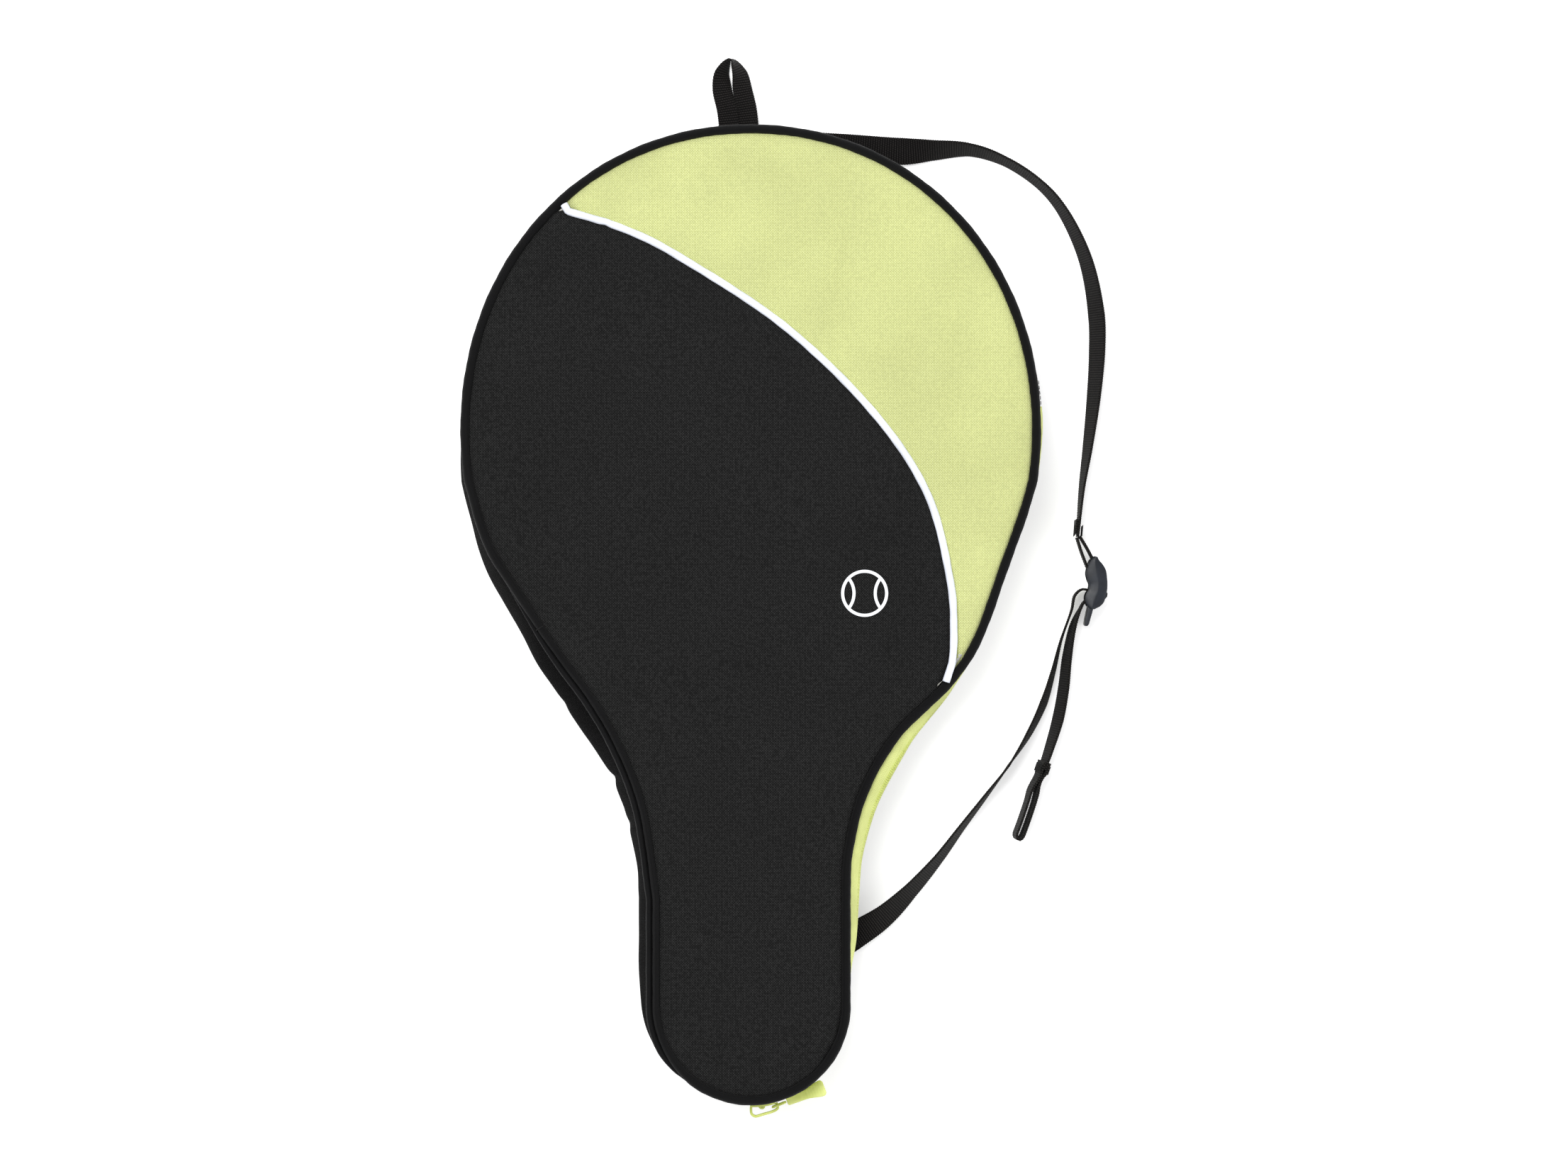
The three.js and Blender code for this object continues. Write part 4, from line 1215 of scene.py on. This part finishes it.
def beside_seam(points):
    """Signed distance from the seam: positive on the lime side."""
    gap, near = distance_to(points, SEAM_LINE)
    near = np.clip(near, 1, len(SEAM_LINE) - 2)
    run = SEAM_LINE[near + 1] - SEAM_LINE[near - 1]
    off = points[:, :2] - SEAM_LINE[near]
    side = run[:, 0] * off[:, 1] - run[:, 1] * off[:, 0]
    return np.where(side > 0, gap, -gap)


def add_front_covers():
    beside = SEAM_PIPING_RADIUS - 0.9
    lime, black = two_colour_loops(TUCK, beside)
    insets = (TUCK + 0.9, TUCK + 2.0, TUCK + 3.6)
    inner = evenly(SEAM_LINE[20:-20], 2.5, 2)
    lime_rows = [offset_line(inner, -(beside + d)) for d in (1.0, 2.4, 4.2)]
    black_rows = [offset_line(inner, beside + d) for d in (1.0, 2.4, 4.2)]

    def inside(line, inset):
        return line[distance_to(line, OUTLINE)[0] > inset]

    lime_rows = [inside(r, TUCK + 4.5) for r in lime_rows] + rim_rows(
        insets, lambda p: beside_seam(p) > 5.0)
    black_rows = [inside(r, TUCK + 4.5) for r in black_rows] + rim_rows(
        insets, lambda p: beside_seam(p) < -5.0)
    add_cover("front_cover_lime", lime, lime_rows, "lime_fabric", lime_cloth,
              ["front_panel_lime", "flap_panel_lime"], 0.35)
    add_cover("front_cover_black", black, black_rows, "black_fabric", black_cloth,
              ["front_panel_black", "flap_panel_black"], 0.35)


def layer(name, inset, top, thickness, material, spacing=4.0, unevenness=0.0):
    """A sheet that fills the whole outline: foam, lining or rear cover."""
    loop, _ = inset_loop(inset)
    rows = rim_rows((inset + 1.2, inset + 3.0), lambda p: np.ones(len(p), bool))
    spots, faces = fill_loop(loop, rows, spacing)
    inside, _ = distance_to(spots, OUTLINE)
    inside -= inset
    level = top(inside) + unevenness * wave(spots, 60.0, len(name)) * smoothstep(inside / 20)
    piece = cloth_slab(name, spots, faces, level, thickness, material)
    return piece


def add_front_layers():
    foam = layer("front_foam_sheet", 5.4, lambda d: 48.7 - 1.2 * np.exp(-d / 2.0), 3.3, pale_foam)
    bend_as(foam, "foam", "front_foam", "flap_foam")
    lining = layer("front_lining_sheet", 5.0, lambda d: 45.15 + 0.35 * np.exp(-d / 4.0), 0.45,
                   lining_cloth, unevenness=0.12)
    bend_as(lining, "lining", "front_lining", "flap_lining")


def add_rear_layers():
    cover = layer("rear_cover", TUCK, lambda d: 0.85 + 1.7 * np.exp(-d / 2.2), 0.8, black_cloth, 3.2)
    ride_as(cover, "case", "black_fabric", "rear_panel")
    foam = layer("rear_foam_sheet", 5.4, lambda d: 4.6 + 0 * d, 3.4, pale_foam)
    ride_as(foam, "case", "foam", "rear_foam")
    lining = layer("rear_lining_sheet", 5.0, lambda d: 5.45 + 0 * d, 0.45, lining_cloth,
                   unevenness=0.18)
    ride_as(lining, "case", "lining", "rear_lining")


# ---------------------------------------------------------------- piping
PIPING_JOINT = (-108.0, 243.0)  # where the ends of the piping meet


def lower_left(s):
    """1 along the handle's left side, where the piping rolls in and a second rib shows, else 0."""
    from_end = OUTLINE_LENGTH - s
    return smoothstep((from_end - 30) / 30) * smoothstep((330 - from_end) / 70)


def piping_sections(s, radius, sides=18):
    """Round piping with the slight flats and swellings of hand-fed sewing."""
    swell = 1 + 0.035 * np.sin(s * 2 * math.pi / 23.0) + 0.02 * np.sin(s * 2 * math.pi / 7.1 + 1)
    size = radius * swell
    return circle_section(1.0, sides)[None] * size[:, None, None]


def add_piping():
    step = 1.5
    s = np.arange(0.0, OUTLINE_LENGTH, step)
    surface = Surface()
    slim = lower_left(s)
    radius = PIPING_RADIUS * (1 - 0.2 * slim)
    joint = OUTLINE_AT[distance_to([PIPING_JOINT], OUTLINE)[1][0]]
    radius = radius * (1 - 0.10 * hump(s, joint, 0.9))
    tube_along_outline(
        surface, s, -PIPING_RADIUS - 0.5 * slim, 47.7 + 0.1 * slim, piping_sections(s, radius),
        closed=True,
    )
    front = surface.object("front_piping", black_twill)
    bend_as(front, "edge_piping", "front_edge_piping", "flap_edge_piping")
    welt = Surface()
    s = np.arange(OUTLINE_LENGTH - 325.0, OUTLINE_LENGTH - 28.0, step)
    slim = lower_left(s)
    tube_along_outline(welt, s, -0.9 + 1.75 * slim, 46.2, piping_sections(s, 0.5 + 1.1 * slim, 14))
    welt = welt.object("gusset_welt", black_twill)
    bend_as(welt, "edge_piping")
    s = np.arange(0.0, OUTLINE_LENGTH, step)
    surface = Surface()
    radius = PIPING_RADIUS * (1 - 0.10 * hump(s, joint, 0.9))
    tube_along_outline(surface, s, -PIPING_RADIUS, PIPING_RADIUS + 0.05, piping_sections(s, radius),
                       closed=True)
    rear = surface.object("rear_piping", black_twill)
    ride_as(rear, "case", "edge_piping", "rear_edge_piping")
    joint_thread = Surface()
    for height in (47.7, PIPING_RADIUS + 0.05):
        angle = np.radians(np.linspace(0, 360, 24, endpoint=False))
        spot, outward = along_outline(np.full(24, joint))
        ring = PIPING_RADIUS * 0.93
        line = np.column_stack([
            spot + outward * (-PIPING_RADIUS + ring * np.cos(angle))[:, None],
            height + ring * np.sin(angle),
        ])
        run = np.column_stack([-outward[:, 1], outward[:, 0], np.zeros(24)])
        out = np.column_stack([outward * np.cos(angle)[:, None], np.sin(angle)])
        sweep(joint_thread, line, run, out, circle_section(0.22, 6), closed=True)
    thread = joint_thread.object("piping_joint_thread", thread_black)
    ride_as(thread, "case", "edge_piping")


def add_seam_piping():
    """The white cord between the two colours, with a kink where it was eased near its upper end."""
    line = evenly(SEAM_LINE, 1.2, 2)
    along = lengths(line)
    inside, _ = distance_to(line, OUTLINE)
    z = SEAM_PIPING_HEIGHT - 2.4 * np.exp(-((inside - 1.0).clip(0) / 3.2)) + 0.12 * np.sin(along / 6.0)
    kink = hump(along, 24.0, 2.2)
    line = offset_line(line, -0.35 * kink)
    middle = np.column_stack([line, z + 0.15 * kink])
    tangent = unit(np.gradient(middle, axis=0))
    across = unit(np.cross(tangent, [0.0, 0.0, 1.0]))
    up = np.cross(across, tangent)
    swell = 0.025 * np.sin(along / 3.3) + 0.02 * np.sin(along / 1.7 + 2)
    width = SEAM_PIPING_RADIUS * (1 + swell - 0.1 * kink)
    sections = circle_section(1.0, 18)[None] * width[:, None, None]
    surface = Surface()
    sweep(surface, middle, across, up, sections)
    piece = surface.object("white_seam_piping", white_cord)
    bend_as(piece, "seam_piping", "seam_piping", "flap_seam_piping")


def add_bindings():
    """Cloth tape folded over the raw edges inside, where the gusset meets the two panels."""
    for name, z, nodes in (
        ("front_binding", 43.4, ("front_seam_binding", "flap_seam_binding")),
        ("rear_binding", 6.9, ("rear_seam_binding",)),
    ):
        s = np.arange(0.0, OUTLINE_LENGTH, 2.0)
        surface = Surface()
        section = rounded_rectangle(3.0, 1.8, 0.8, 4)
        lumps = 1 + 0.06 * np.sin(s / 3.1) + 0.05 * np.sin(s / 7.7)
        tube_along_outline(surface, s, -5.0, z, section[None] * lumps[:, None, None], closed=True)
        stitches = Surface()
        add_stitches(stitches, np.arange(0.0, OUTLINE_LENGTH - 3.0, 3.2), -5.2,
                     z + (-0.95 if z > 25 else 0.95), 2.3, 0.24)
        tape = surface.object(name, binding_tape)
        thread = stitches.object(name + "_stitches", thread_black)
        if z > 25:
            bend_as(tape, "edge_piping", *nodes)
            bend_as(thread, "edge_piping")
        else:
            ride_as(tape, "case", "edge_piping", *nodes)
            ride_as(thread, "case", "edge_piping")


def add_stitches(surface, places, offset, z, length, radius):
    """A row of lockstitches along the outline: offset and z may be one number or one for each."""
    offset = np.broadcast_to(offset, places.shape)
    z = np.broadcast_to(z, places.shape)
    for s, out, height in zip(places, offset, z):
        part = s + np.linspace(0, length, 4)
        spot, outward = along_outline(part)
        dive = 0.6 * radius * np.array([-1, 0.6, 0.6, -1])
        middle = np.column_stack([spot + outward * out, height + dive])
        across = np.column_stack([outward, np.zeros(4)])
        up = upright(4)
        sweep(surface, middle, across, up, circle_section(radius, 5))


# ---------------------------------------------------------------- gusset and zip
# How far the sides bag out past the piping, as height up the case and millimetres outwards.
LEFT_BULGE = [
    (4, 0), (10, 0.8), (18, 2.4), (31, 4.4), (43, 5.0), (56, 5.7),
    (68, 6.0), (81, 6.3), (94, 7.0), (106, 6.9), (119, 5.5), (132, 6.2),
    (144, 7.2), (152, 7.2), (160, 8.0), (170, 7.0), (182, 9.0), (195, 10.8),
    (207, 11.3), (220, 10.0), (232, 9.8), (245, 8.3), (258, 7.0), (270, 6.2),
    (283, 3.9), (296, 2.9), (308, 2.8), (321, 2.2), (334, 1.7), (346, 0.7),
    (360, 0),
]
RIGHT_BULGE = [
    (0, -0.2), (50, -0.2), (66, 0), (72, 0.8), (79, 2.4), (86, 3.3),
    (94, 3.8), (115, 5.0), (130, 5.5), (144, 6.5), (157, 7.1), (170, 7.7),
    (181, 7.4), (195, 5.3), (209, 2.4), (216, 0.9), (226, 0), (312, 0),
    (332, 0.7), (347, 1.4), (358, 1.3), (366, 0),
]


def bulge(s):
    """How far the gusset or the zip bags out at a place along the outline."""
    (x, y), _ = along_outline(s)
    table = LEFT_BULGE if x < 0 else RIGHT_BULGE
    near = [np.interp(y + d, *np.transpose(table)) for d in (-4, -2, 0, 2, 4)]
    return float(np.mean(near))


WALL_OUTSIDE = -1.5
WALL_LOW = 4.9
WALL_HIGH = 45.4


def gusset_profile(s):
    """The wall's outer line from rear to front: it bags out, with creases at the neck."""
    t = np.linspace(0, 1, 23)
    z = WALL_LOW + (WALL_HIGH - WALL_LOW) * t
    out = bulge(s)
    (x, y), _ = along_outline(s)
    lean = 0.45 + 0.1 * math.sin(s / 31.0)
    rising = np.sin(math.pi / 2 * t / lean)
    falling = np.cos(math.pi / 2 * (t - lean) / (1 - lean))
    shape = np.where(t < lean, rising, falling)
    shape = np.clip(shape, 0, 1) ** 0.8
    offset = WALL_OUTSIDE + (out + 1.5 * min(1.0, out / 2.0)) * shape
    if x < 0:
        for at, depth, slope in ((168.6, 1.5, 10.0), (145.1, 1.1, -9.0), (212.0, 0.7, 14.0)):
            offset -= depth * hump(y + slope * (t - 0.5), at, 3.2) * np.sin(math.pi * t)
        fold = hump(t, 0.62 + (y - 40) / 130.0, 0.10)
        offset -= 1.5 * fold * smoothstep((y - 14) / 12) * smoothstep((62 - y) / 14)
    ripple = math.sin(s / 5.3) * 0.5 + math.sin(s / 8.9 + 1.0)
    offset = offset + 0.22 * ripple * np.sin(math.pi * t) * min(1.0, 0.3 + out / 6)
    offset = offset + 0.3 * np.sin(math.pi * t) * np.sin(s / 19.0 + 5 * t)
    return np.column_stack([offset, z])


def coil_place(s):
    """Offset and height of the middle of the coils: the closed zip bags out with its tapes."""
    out = bulge(s) - 0.6
    run = min(max(out - WALL_OUTSIDE, 0.0), TAPE_WIDTH - 0.5)
    drop = math.sqrt(TAPE_WIDTH**2 - run**2)
    return WALL_OUTSIDE + run, WALL_HIGH - drop - 0.4


def zip_curve(s):
    """The side's outer line under the zip: from the rear seam up to the coils."""
    offset, z = coil_place(s)
    t = np.linspace(0, 1, 24)
    sag = 0.25 * math.sin(s / 13.0)
    line = np.column_stack([
        WALL_OUTSIDE + (offset - WALL_OUTSIDE) * np.sin(math.pi / 2 * t) + sag * np.sin(math.pi * t),
        WALL_LOW + (z - 0.7 - WALL_LOW) * t,
    ])
    return evenly(line, 0.4, 2)


def part_of(line, start, end, count):
    """A stretch of a line, given in millimetres back from its end."""
    along = lengths(line)
    wanted = np.clip(along[-1] - np.linspace(start, end, count), 0, along[-1])
    return np.column_stack([np.interp(wanted, along, line[:, k]) for k in (0, 1)])


def zip_side_profile(s):
    line = zip_curve(s)
    return part_of(line, lengths(line)[-1], TAPE_WIDTH - 1.0, 14)


def rear_tape_profile(s):
    line = part_of(zip_curve(s), TAPE_WIDTH + 1.5, 0.35, 10)
    line[:, 0] -= 0.55 * smoothstep(np.linspace(3.0, -1.0, 10))
    return line


def front_tape_profile(s):
    offset, z = coil_place(s)
    t = np.linspace(0, 1, 11)
    swell = 0.5 * np.sin(math.pi * t) * min(1.0, 0.3 + bulge(s) / 5)
    return np.column_stack([
        offset + (WALL_OUTSIDE - 0.6 - offset) * t + swell,
        z + 0.5 + (46.0 - z - 0.5) * t + swell * 0.6,
    ])


def height_share(z):
    return float(smoothstep(np.array((z / MM - WALL_LOW) / (WALL_HIGH - WALL_LOW))))


def add_gusset():
    surface = Surface()
    s = np.linspace(ZIP_END + 0.1, OUTLINE_LENGTH + ZIP_START - 0.25, 535)
    wall_strip(surface, s, gusset_profile, 1.2)
    wall = surface.object("gusset_wall_cloth", shaded_gusset_cloth)
    bend_as(wall, "black_fabric", "gusset_wall", height_share=height_share)
    surface = Surface()
    s = np.linspace(ZIP_START - 0.1, ZIP_END + 0.3, 210)
    wall_strip(surface, s, zip_side_profile, 1.2)
    side = surface.object("gusset_zip_side_cloth", shaded_gusset_cloth)
    ride_as(side, "case", "black_fabric", "gusset_zip_side")


def coil(name, rise, material):
    """One half of the zip's nylon coil: a flattened helix along the outline."""
    pitch, steps = 1.27, 10
    turns = int((408.5 + 0.9) / pitch)
    phase = np.arange(turns * steps) / steps
    s = -0.9 + phase * pitch
    angle = 2 * math.pi * phase
    places = np.arange(-6, 420, 2.0)
    table = np.array([coil_place(v) for v in places])
    offset = np.interp(s, places, table[:, 0]) - 1.3
    z = np.interp(s, places, table[:, 1]) + rise
    spot, outward = along_outline(s)
    out = 1.0 * np.cos(angle)
    high = 1.15 * np.sin(angle)
    middle = np.column_stack([spot + outward * (offset + out)[:, None], z + high])
    tangent = unit(np.gradient(middle, axis=0))
    sideways = np.column_stack([outward[:, 1], -outward[:, 0], np.zeros(len(s))])
    across = unit(np.cross(tangent, sideways))
    surface = Surface()
    sweep(surface, middle, across, np.cross(tangent, across), circle_section(0.32, 5))
    return surface.object(name, material)


def tape_stitches(name, rise, out):
    """The twin rows of stitches that hold a coil to its tape."""
    surface = Surface()
    places = np.arange(ZIP_START + 3, ZIP_END - 4, 1.7)
    table = np.array([coil_place(s) for s in places])
    for row_number in (0, 1):
        add_stitches(surface, places, table[:, 0] + out - 0.25 * row_number,
                     table[:, 1] + rise * (1 + 0.75 * row_number), 1.15, 0.17)
    return surface.object(name, thread_lime)


def add_zip():
    s = np.arange(ZIP_START, ZIP_END - 0.2, 1.6)
    surface = Surface()
    wall_strip(surface, s, front_tape_profile, -0.6)
    tape = surface.object("front_zip_tape", lime_tape)
    bend_as(tape, "zip_tape", "zip_tape_front")
    surface = Surface()
    wall_strip(surface, s, rear_tape_profile, 0.6)
    tape = surface.object("rear_zip_tape", lime_tape)
    ride_as(tape, "case", "zip_tape", "zip_tape_rear")
    bend_as(coil("front_zip_coil", 1.25, coil_nylon), "zip_tape", "zip_coil_front")
    ride_as(coil("rear_zip_coil", -1.25, coil_nylon), "case", "zip_tape", "zip_coil_rear")
    bend_as(tape_stitches("front_coil_stitches", 1.3, 0.2), "zip_tape")
    ride_as(tape_stitches("rear_coil_stitches", -1.5, 0.0), "case", "zip_tape")


def crimp(name, s0, s1, low, high, material, offset=-1.2):
    """A small stop crimped round the coil's end."""
    s = np.linspace(s0, s1, 5)
    surface = Surface()
    section = rounded_rectangle(3.4, high - low, 0.6, 4)
    fatten = np.array([0.86, 1.0, 0.94, 1.0, 0.86])
    tube_along_outline(surface, s, offset, (low + high) / 2, section[None] * fatten[:, None, None])
    return surface.object(name, material)


def add_zip_ends():
    bend_as(crimp("front_zip_stop", -3.4, -1.2, 36.4, 39.4, lime_paint), "zip_metal", "zip_stop_front")
    ride_as(crimp("rear_zip_stop", -3.4, -1.2, 32.6, 35.6, lime_paint), "case", "zip_metal",
            "zip_stop_rear")
    low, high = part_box("zip_end_stop")
    end_low, end_high = low.z / MM, high.z / MM
    ride_as(crimp("zip_end_crimp", ZIP_END - 3.6, ZIP_END - 0.6, end_low, end_high, lime_paint), "case",
            "zip_metal", "zip_end_stop")
    s = np.arange(ZIP_END - 1.0, ZIP_END + 15.0, 1.0)

    def tab_profile(value):
        t = np.linspace(0, 1, 12)
        out = 0.35 + 1.0 * np.sin(math.pi * t) ** 0.7 * smoothstep((ZIP_END + 15.5 - value) / 9)
        return np.column_stack([np.full(12, -1.1) + out, 26 + 19.4 * t])

    surface = Surface()
    wall_strip(surface, s, tab_profile, 1.6)
    tab = surface.object("zip_end_patch", binding_tape)
    ride_as(tab, "case", "black_fabric", "zip_end_tab")
    surface = Surface()
    for z in (29.0, 42.0):
        add_stitches(surface, np.arange(ZIP_END + 0.5, ZIP_END + 12, 2.6), 0.55, z, 1.9, 0.2)
    ride_as(surface.object("zip_end_patch_stitches", thread_black), "case", "black_fabric")


# ---------------------------------------------------------------- slider and puller
SLIDER_ANGLE = -83.2
PIVOT = (11.2, -1.75)
PULLER_ANGLE = 21.2


def on_end_arc(points):
    """Turns (mm round from the slider's middle, height, offset out) into the slider's place."""
    angle = math.radians(SLIDER_ANGLE) + points[:, 0] / HANDLE_RADIUS
    radius = HANDLE_RADIUS + points[:, 2]
    return np.column_stack([
        radius * np.cos(angle), HANDLE_RADIUS + radius * np.sin(angle), ZIP_HEIGHT + points[:, 1]
    ])


def slider_plate(name, low, high):
    """The outline of a slider seen flat: wide shoulders, a narrower mouth, rounded all round."""
    half = 6.4
    upper = [(half, 1.4), (half - 0.6, 2.6), (2.6, 3.7), (-1.5, 4.0), (-half + 1.0, 3.6), (-half, 2.6)]
    lower = [(x, -y) for x, y in reversed(upper)]
    outline = [*lower, *upper, (-half + 1.2, 0.0)]
    smooth = evenly(catmull_rom([*outline, outline[0]], 5), 0.7, 2)[:-1]
    return prism(name, smooth, low, high, 0.3, lime_paint, on_end_arc)


def cast_bow(surface, route, width, thickness, z):
    """A cast bow of even section that stands out of the slider's plate."""
    line = evenly(catmull_rom(route, 8), 0.35, 2)
    middle = np.column_stack([line, np.full(len(line), z)])
    tangent = unit(np.gradient(middle, axis=0))
    up = upright(len(line))
    sweep(surface, middle, np.cross(tangent, up), up, rounded_rectangle(thickness, width, 0.45, 4))


def add_slider():
    plates = [slider_plate("slider_outer", 0.3, 1.6), slider_plate("slider_inner", -5.0, -3.7)]
    surface = Surface()
    cast_bow(surface, [(0.35, 0.4), (0.1, -2.4), (0.3, -4.9), (1.5, -6.2), (3.2, -6.35), (6.8, -5.3),
                       (10.6, -4.2), (13.2, -2.9), (13.9, -1.4), (13.0, 0.5)], 3.0, 1.35, ZIP_HEIGHT)
    cast_bow(surface, [(4.6, 0.2), (4.4, -1.4), (5.3, -2.2), (6.6, -1.9), (7.0, 0.0)],
             2.4, 1.2, ZIP_HEIGHT)
    bow = surface.object("slider_bow", lime_paint)
    post = prism("slider_post", [(-4.6, -0.3), (-1.8, -0.3), (-1.8, 0.3), (-4.6, 0.3)], -3.9, 0.5, 0.0,
                 lime_paint, on_end_arc)
    rails = []
    for side in (-1, 1):
        rail = [(-4.8, side * 3.1), (3.8, side * 3.1), (3.8, side * 3.5), (-4.8, side * 3.5)]
        rails.append(prism("slider_rail", rail[::side], -0.35, 0.6, 0.1, lime_paint, on_end_arc))
    slider = joined("zip_slider_body", [*plates, bow, post, *rails])
    ride_as(slider, "slider", "zip_metal", "zip_slider")


def from_pivot(points):
    """Puller points, drawn from the pivot along x, to their place."""
    turn = math.radians(PULLER_ANGLE)
    return np.column_stack([
        PIVOT[0] + points[:, 0] * math.cos(turn) - points[:, 1] * math.sin(turn),
        PIVOT[1] + points[:, 0] * math.sin(turn) + points[:, 1] * math.cos(turn),
        ZIP_HEIGHT + points[:, 2],
    ])


def add_puller():
    wire = 0.62
    corners = rounded_rectangle(7.5 - wire, 5.4 - 2 * wire, 1.1, 6) + [3.45, 0]
    line = evenly(np.vstack([corners, corners[:1]]), 0.35, 2)[:-1]
    points = from_pivot(np.column_stack([line[:, 0], np.zeros(len(line)), line[:, 1]]))
    tangent = unit(np.roll(points, -1, 0) - np.roll(points, 1, 0))
    turn = math.radians(PULLER_ANGLE)
    side = np.tile([-math.sin(turn), math.cos(turn), 0.0], (len(points), 1))
    surface = Surface()
    sweep(surface, points, side, np.cross(tangent, side), circle_section(wire, 10), closed=True)
    link = surface.object("puller_ring", lime_paint)
    ride_as(link, "puller", "zip_metal", "puller_link")
    add_grip()


def add_grip():
    """The moulded grip: narrow at the link, flared at the end, with ribs on both broad faces."""
    t = np.linspace(0, 1, 60)
    u = 7.8 + 20.6 * t
    half = 2.25 + 0.25 * smoothstep(t / 0.5) + 1.75 * smoothstep((t - 0.45) / 0.5)
    half *= np.sqrt(np.clip(1 - ((t - 0.9) / 0.1).clip(0) ** 2.4 * 0.55, 0.2, 1))
    half *= np.sqrt(np.clip(1 - ((0.05 - t) / 0.05).clip(0) ** 2 * 0.5, 0.2, 1))
    ribs = 0.18 * np.abs(np.sin((u - 18.0) * math.pi / 1.5)) * ((t > 0.52) & (t < 0.9))
    thick = 1.35 + ribs
    thick *= np.sqrt(np.clip(1 - ((t - 0.94) / 0.06).clip(0) ** 2 * 0.6, 0.2, 1))
    sections = rounded_rectangle(2.0, 2.0, 0.55, 5)[None] * np.column_stack([half, thick])[:, None, :]
    turn = math.radians(PULLER_ANGLE)
    middle = from_pivot(np.column_stack([u, np.zeros(60), np.zeros(60)]))
    side = np.tile([-math.sin(turn), math.cos(turn), 0.0], (60, 1))
    up = upright(60)
    surface = Surface()
    sweep(surface, middle, side, up, sections)
    grip = surface.object("puller_grip_moulding", lime_rubber)
    ride_as(grip, "puller", "puller_grip", "puller_grip")


# ---------------------------------------------------------------- printed mark
MARK_CENTRE = (58.0, 261.0)
MARK_RADIUS = 12.0
MARK_LINE = 1.6


def add_ball_mark():
    """A plain ball drawn as a ring and two curved lines, printed thin on the black cover."""
    lines = [ellipse_arc((0, 0), (MARK_RADIUS - MARK_LINE / 2,) * 2, 0, 360, 97)[:-1]]
    for side in (-1, 1):
        arc = ellipse_arc((side * 1.45 * MARK_RADIUS, 0), (MARK_RADIUS,) * 2, 0, 360, 361)
        inside = arc[np.hypot(*arc.T) < MARK_RADIUS - MARK_LINE * 0.8]
        start = int(np.argmax(np.hypot(*np.diff(inside, axis=0).T) > 1.0)) + 1
        if np.hypot(*np.diff(inside, axis=0).T).max() > 1.0:
            inside = np.roll(inside, -start, axis=0)
        lines.append(evenly(inside, 0.7, 2))
    surface = Surface()
    for number, line in enumerate(lines):
        closed = number == 0
        loop = np.vstack([line[-1:], line, line[:1]]) if closed else line
        tangent = np.gradient(loop, axis=0)
        tangent = unit(tangent[1:-1] if closed else tangent)
        spots = line + MARK_CENTRE
        middle = np.column_stack([spots, front_height(spots) + 0.14])
        across = np.column_stack([tangent[:, 1], -tangent[:, 0], np.zeros(len(line))])
        up = upright(len(line))
        sweep(surface, middle, across, up, rounded_rectangle(MARK_LINE, 0.3, 0.12, 3), closed=closed)
    mark = surface.object("printed_ball", print_ink)
    ride_as(mark, "case", "print", "ball_mark")


add_camera()
add_webbing()
add_studio()
add_front_covers()
add_front_layers()
add_rear_layers()
add_piping()
add_seam_piping()
add_bindings()
add_gusset()
add_zip()
add_zip_ends()
add_slider()
add_puller()
add_ball_mark()
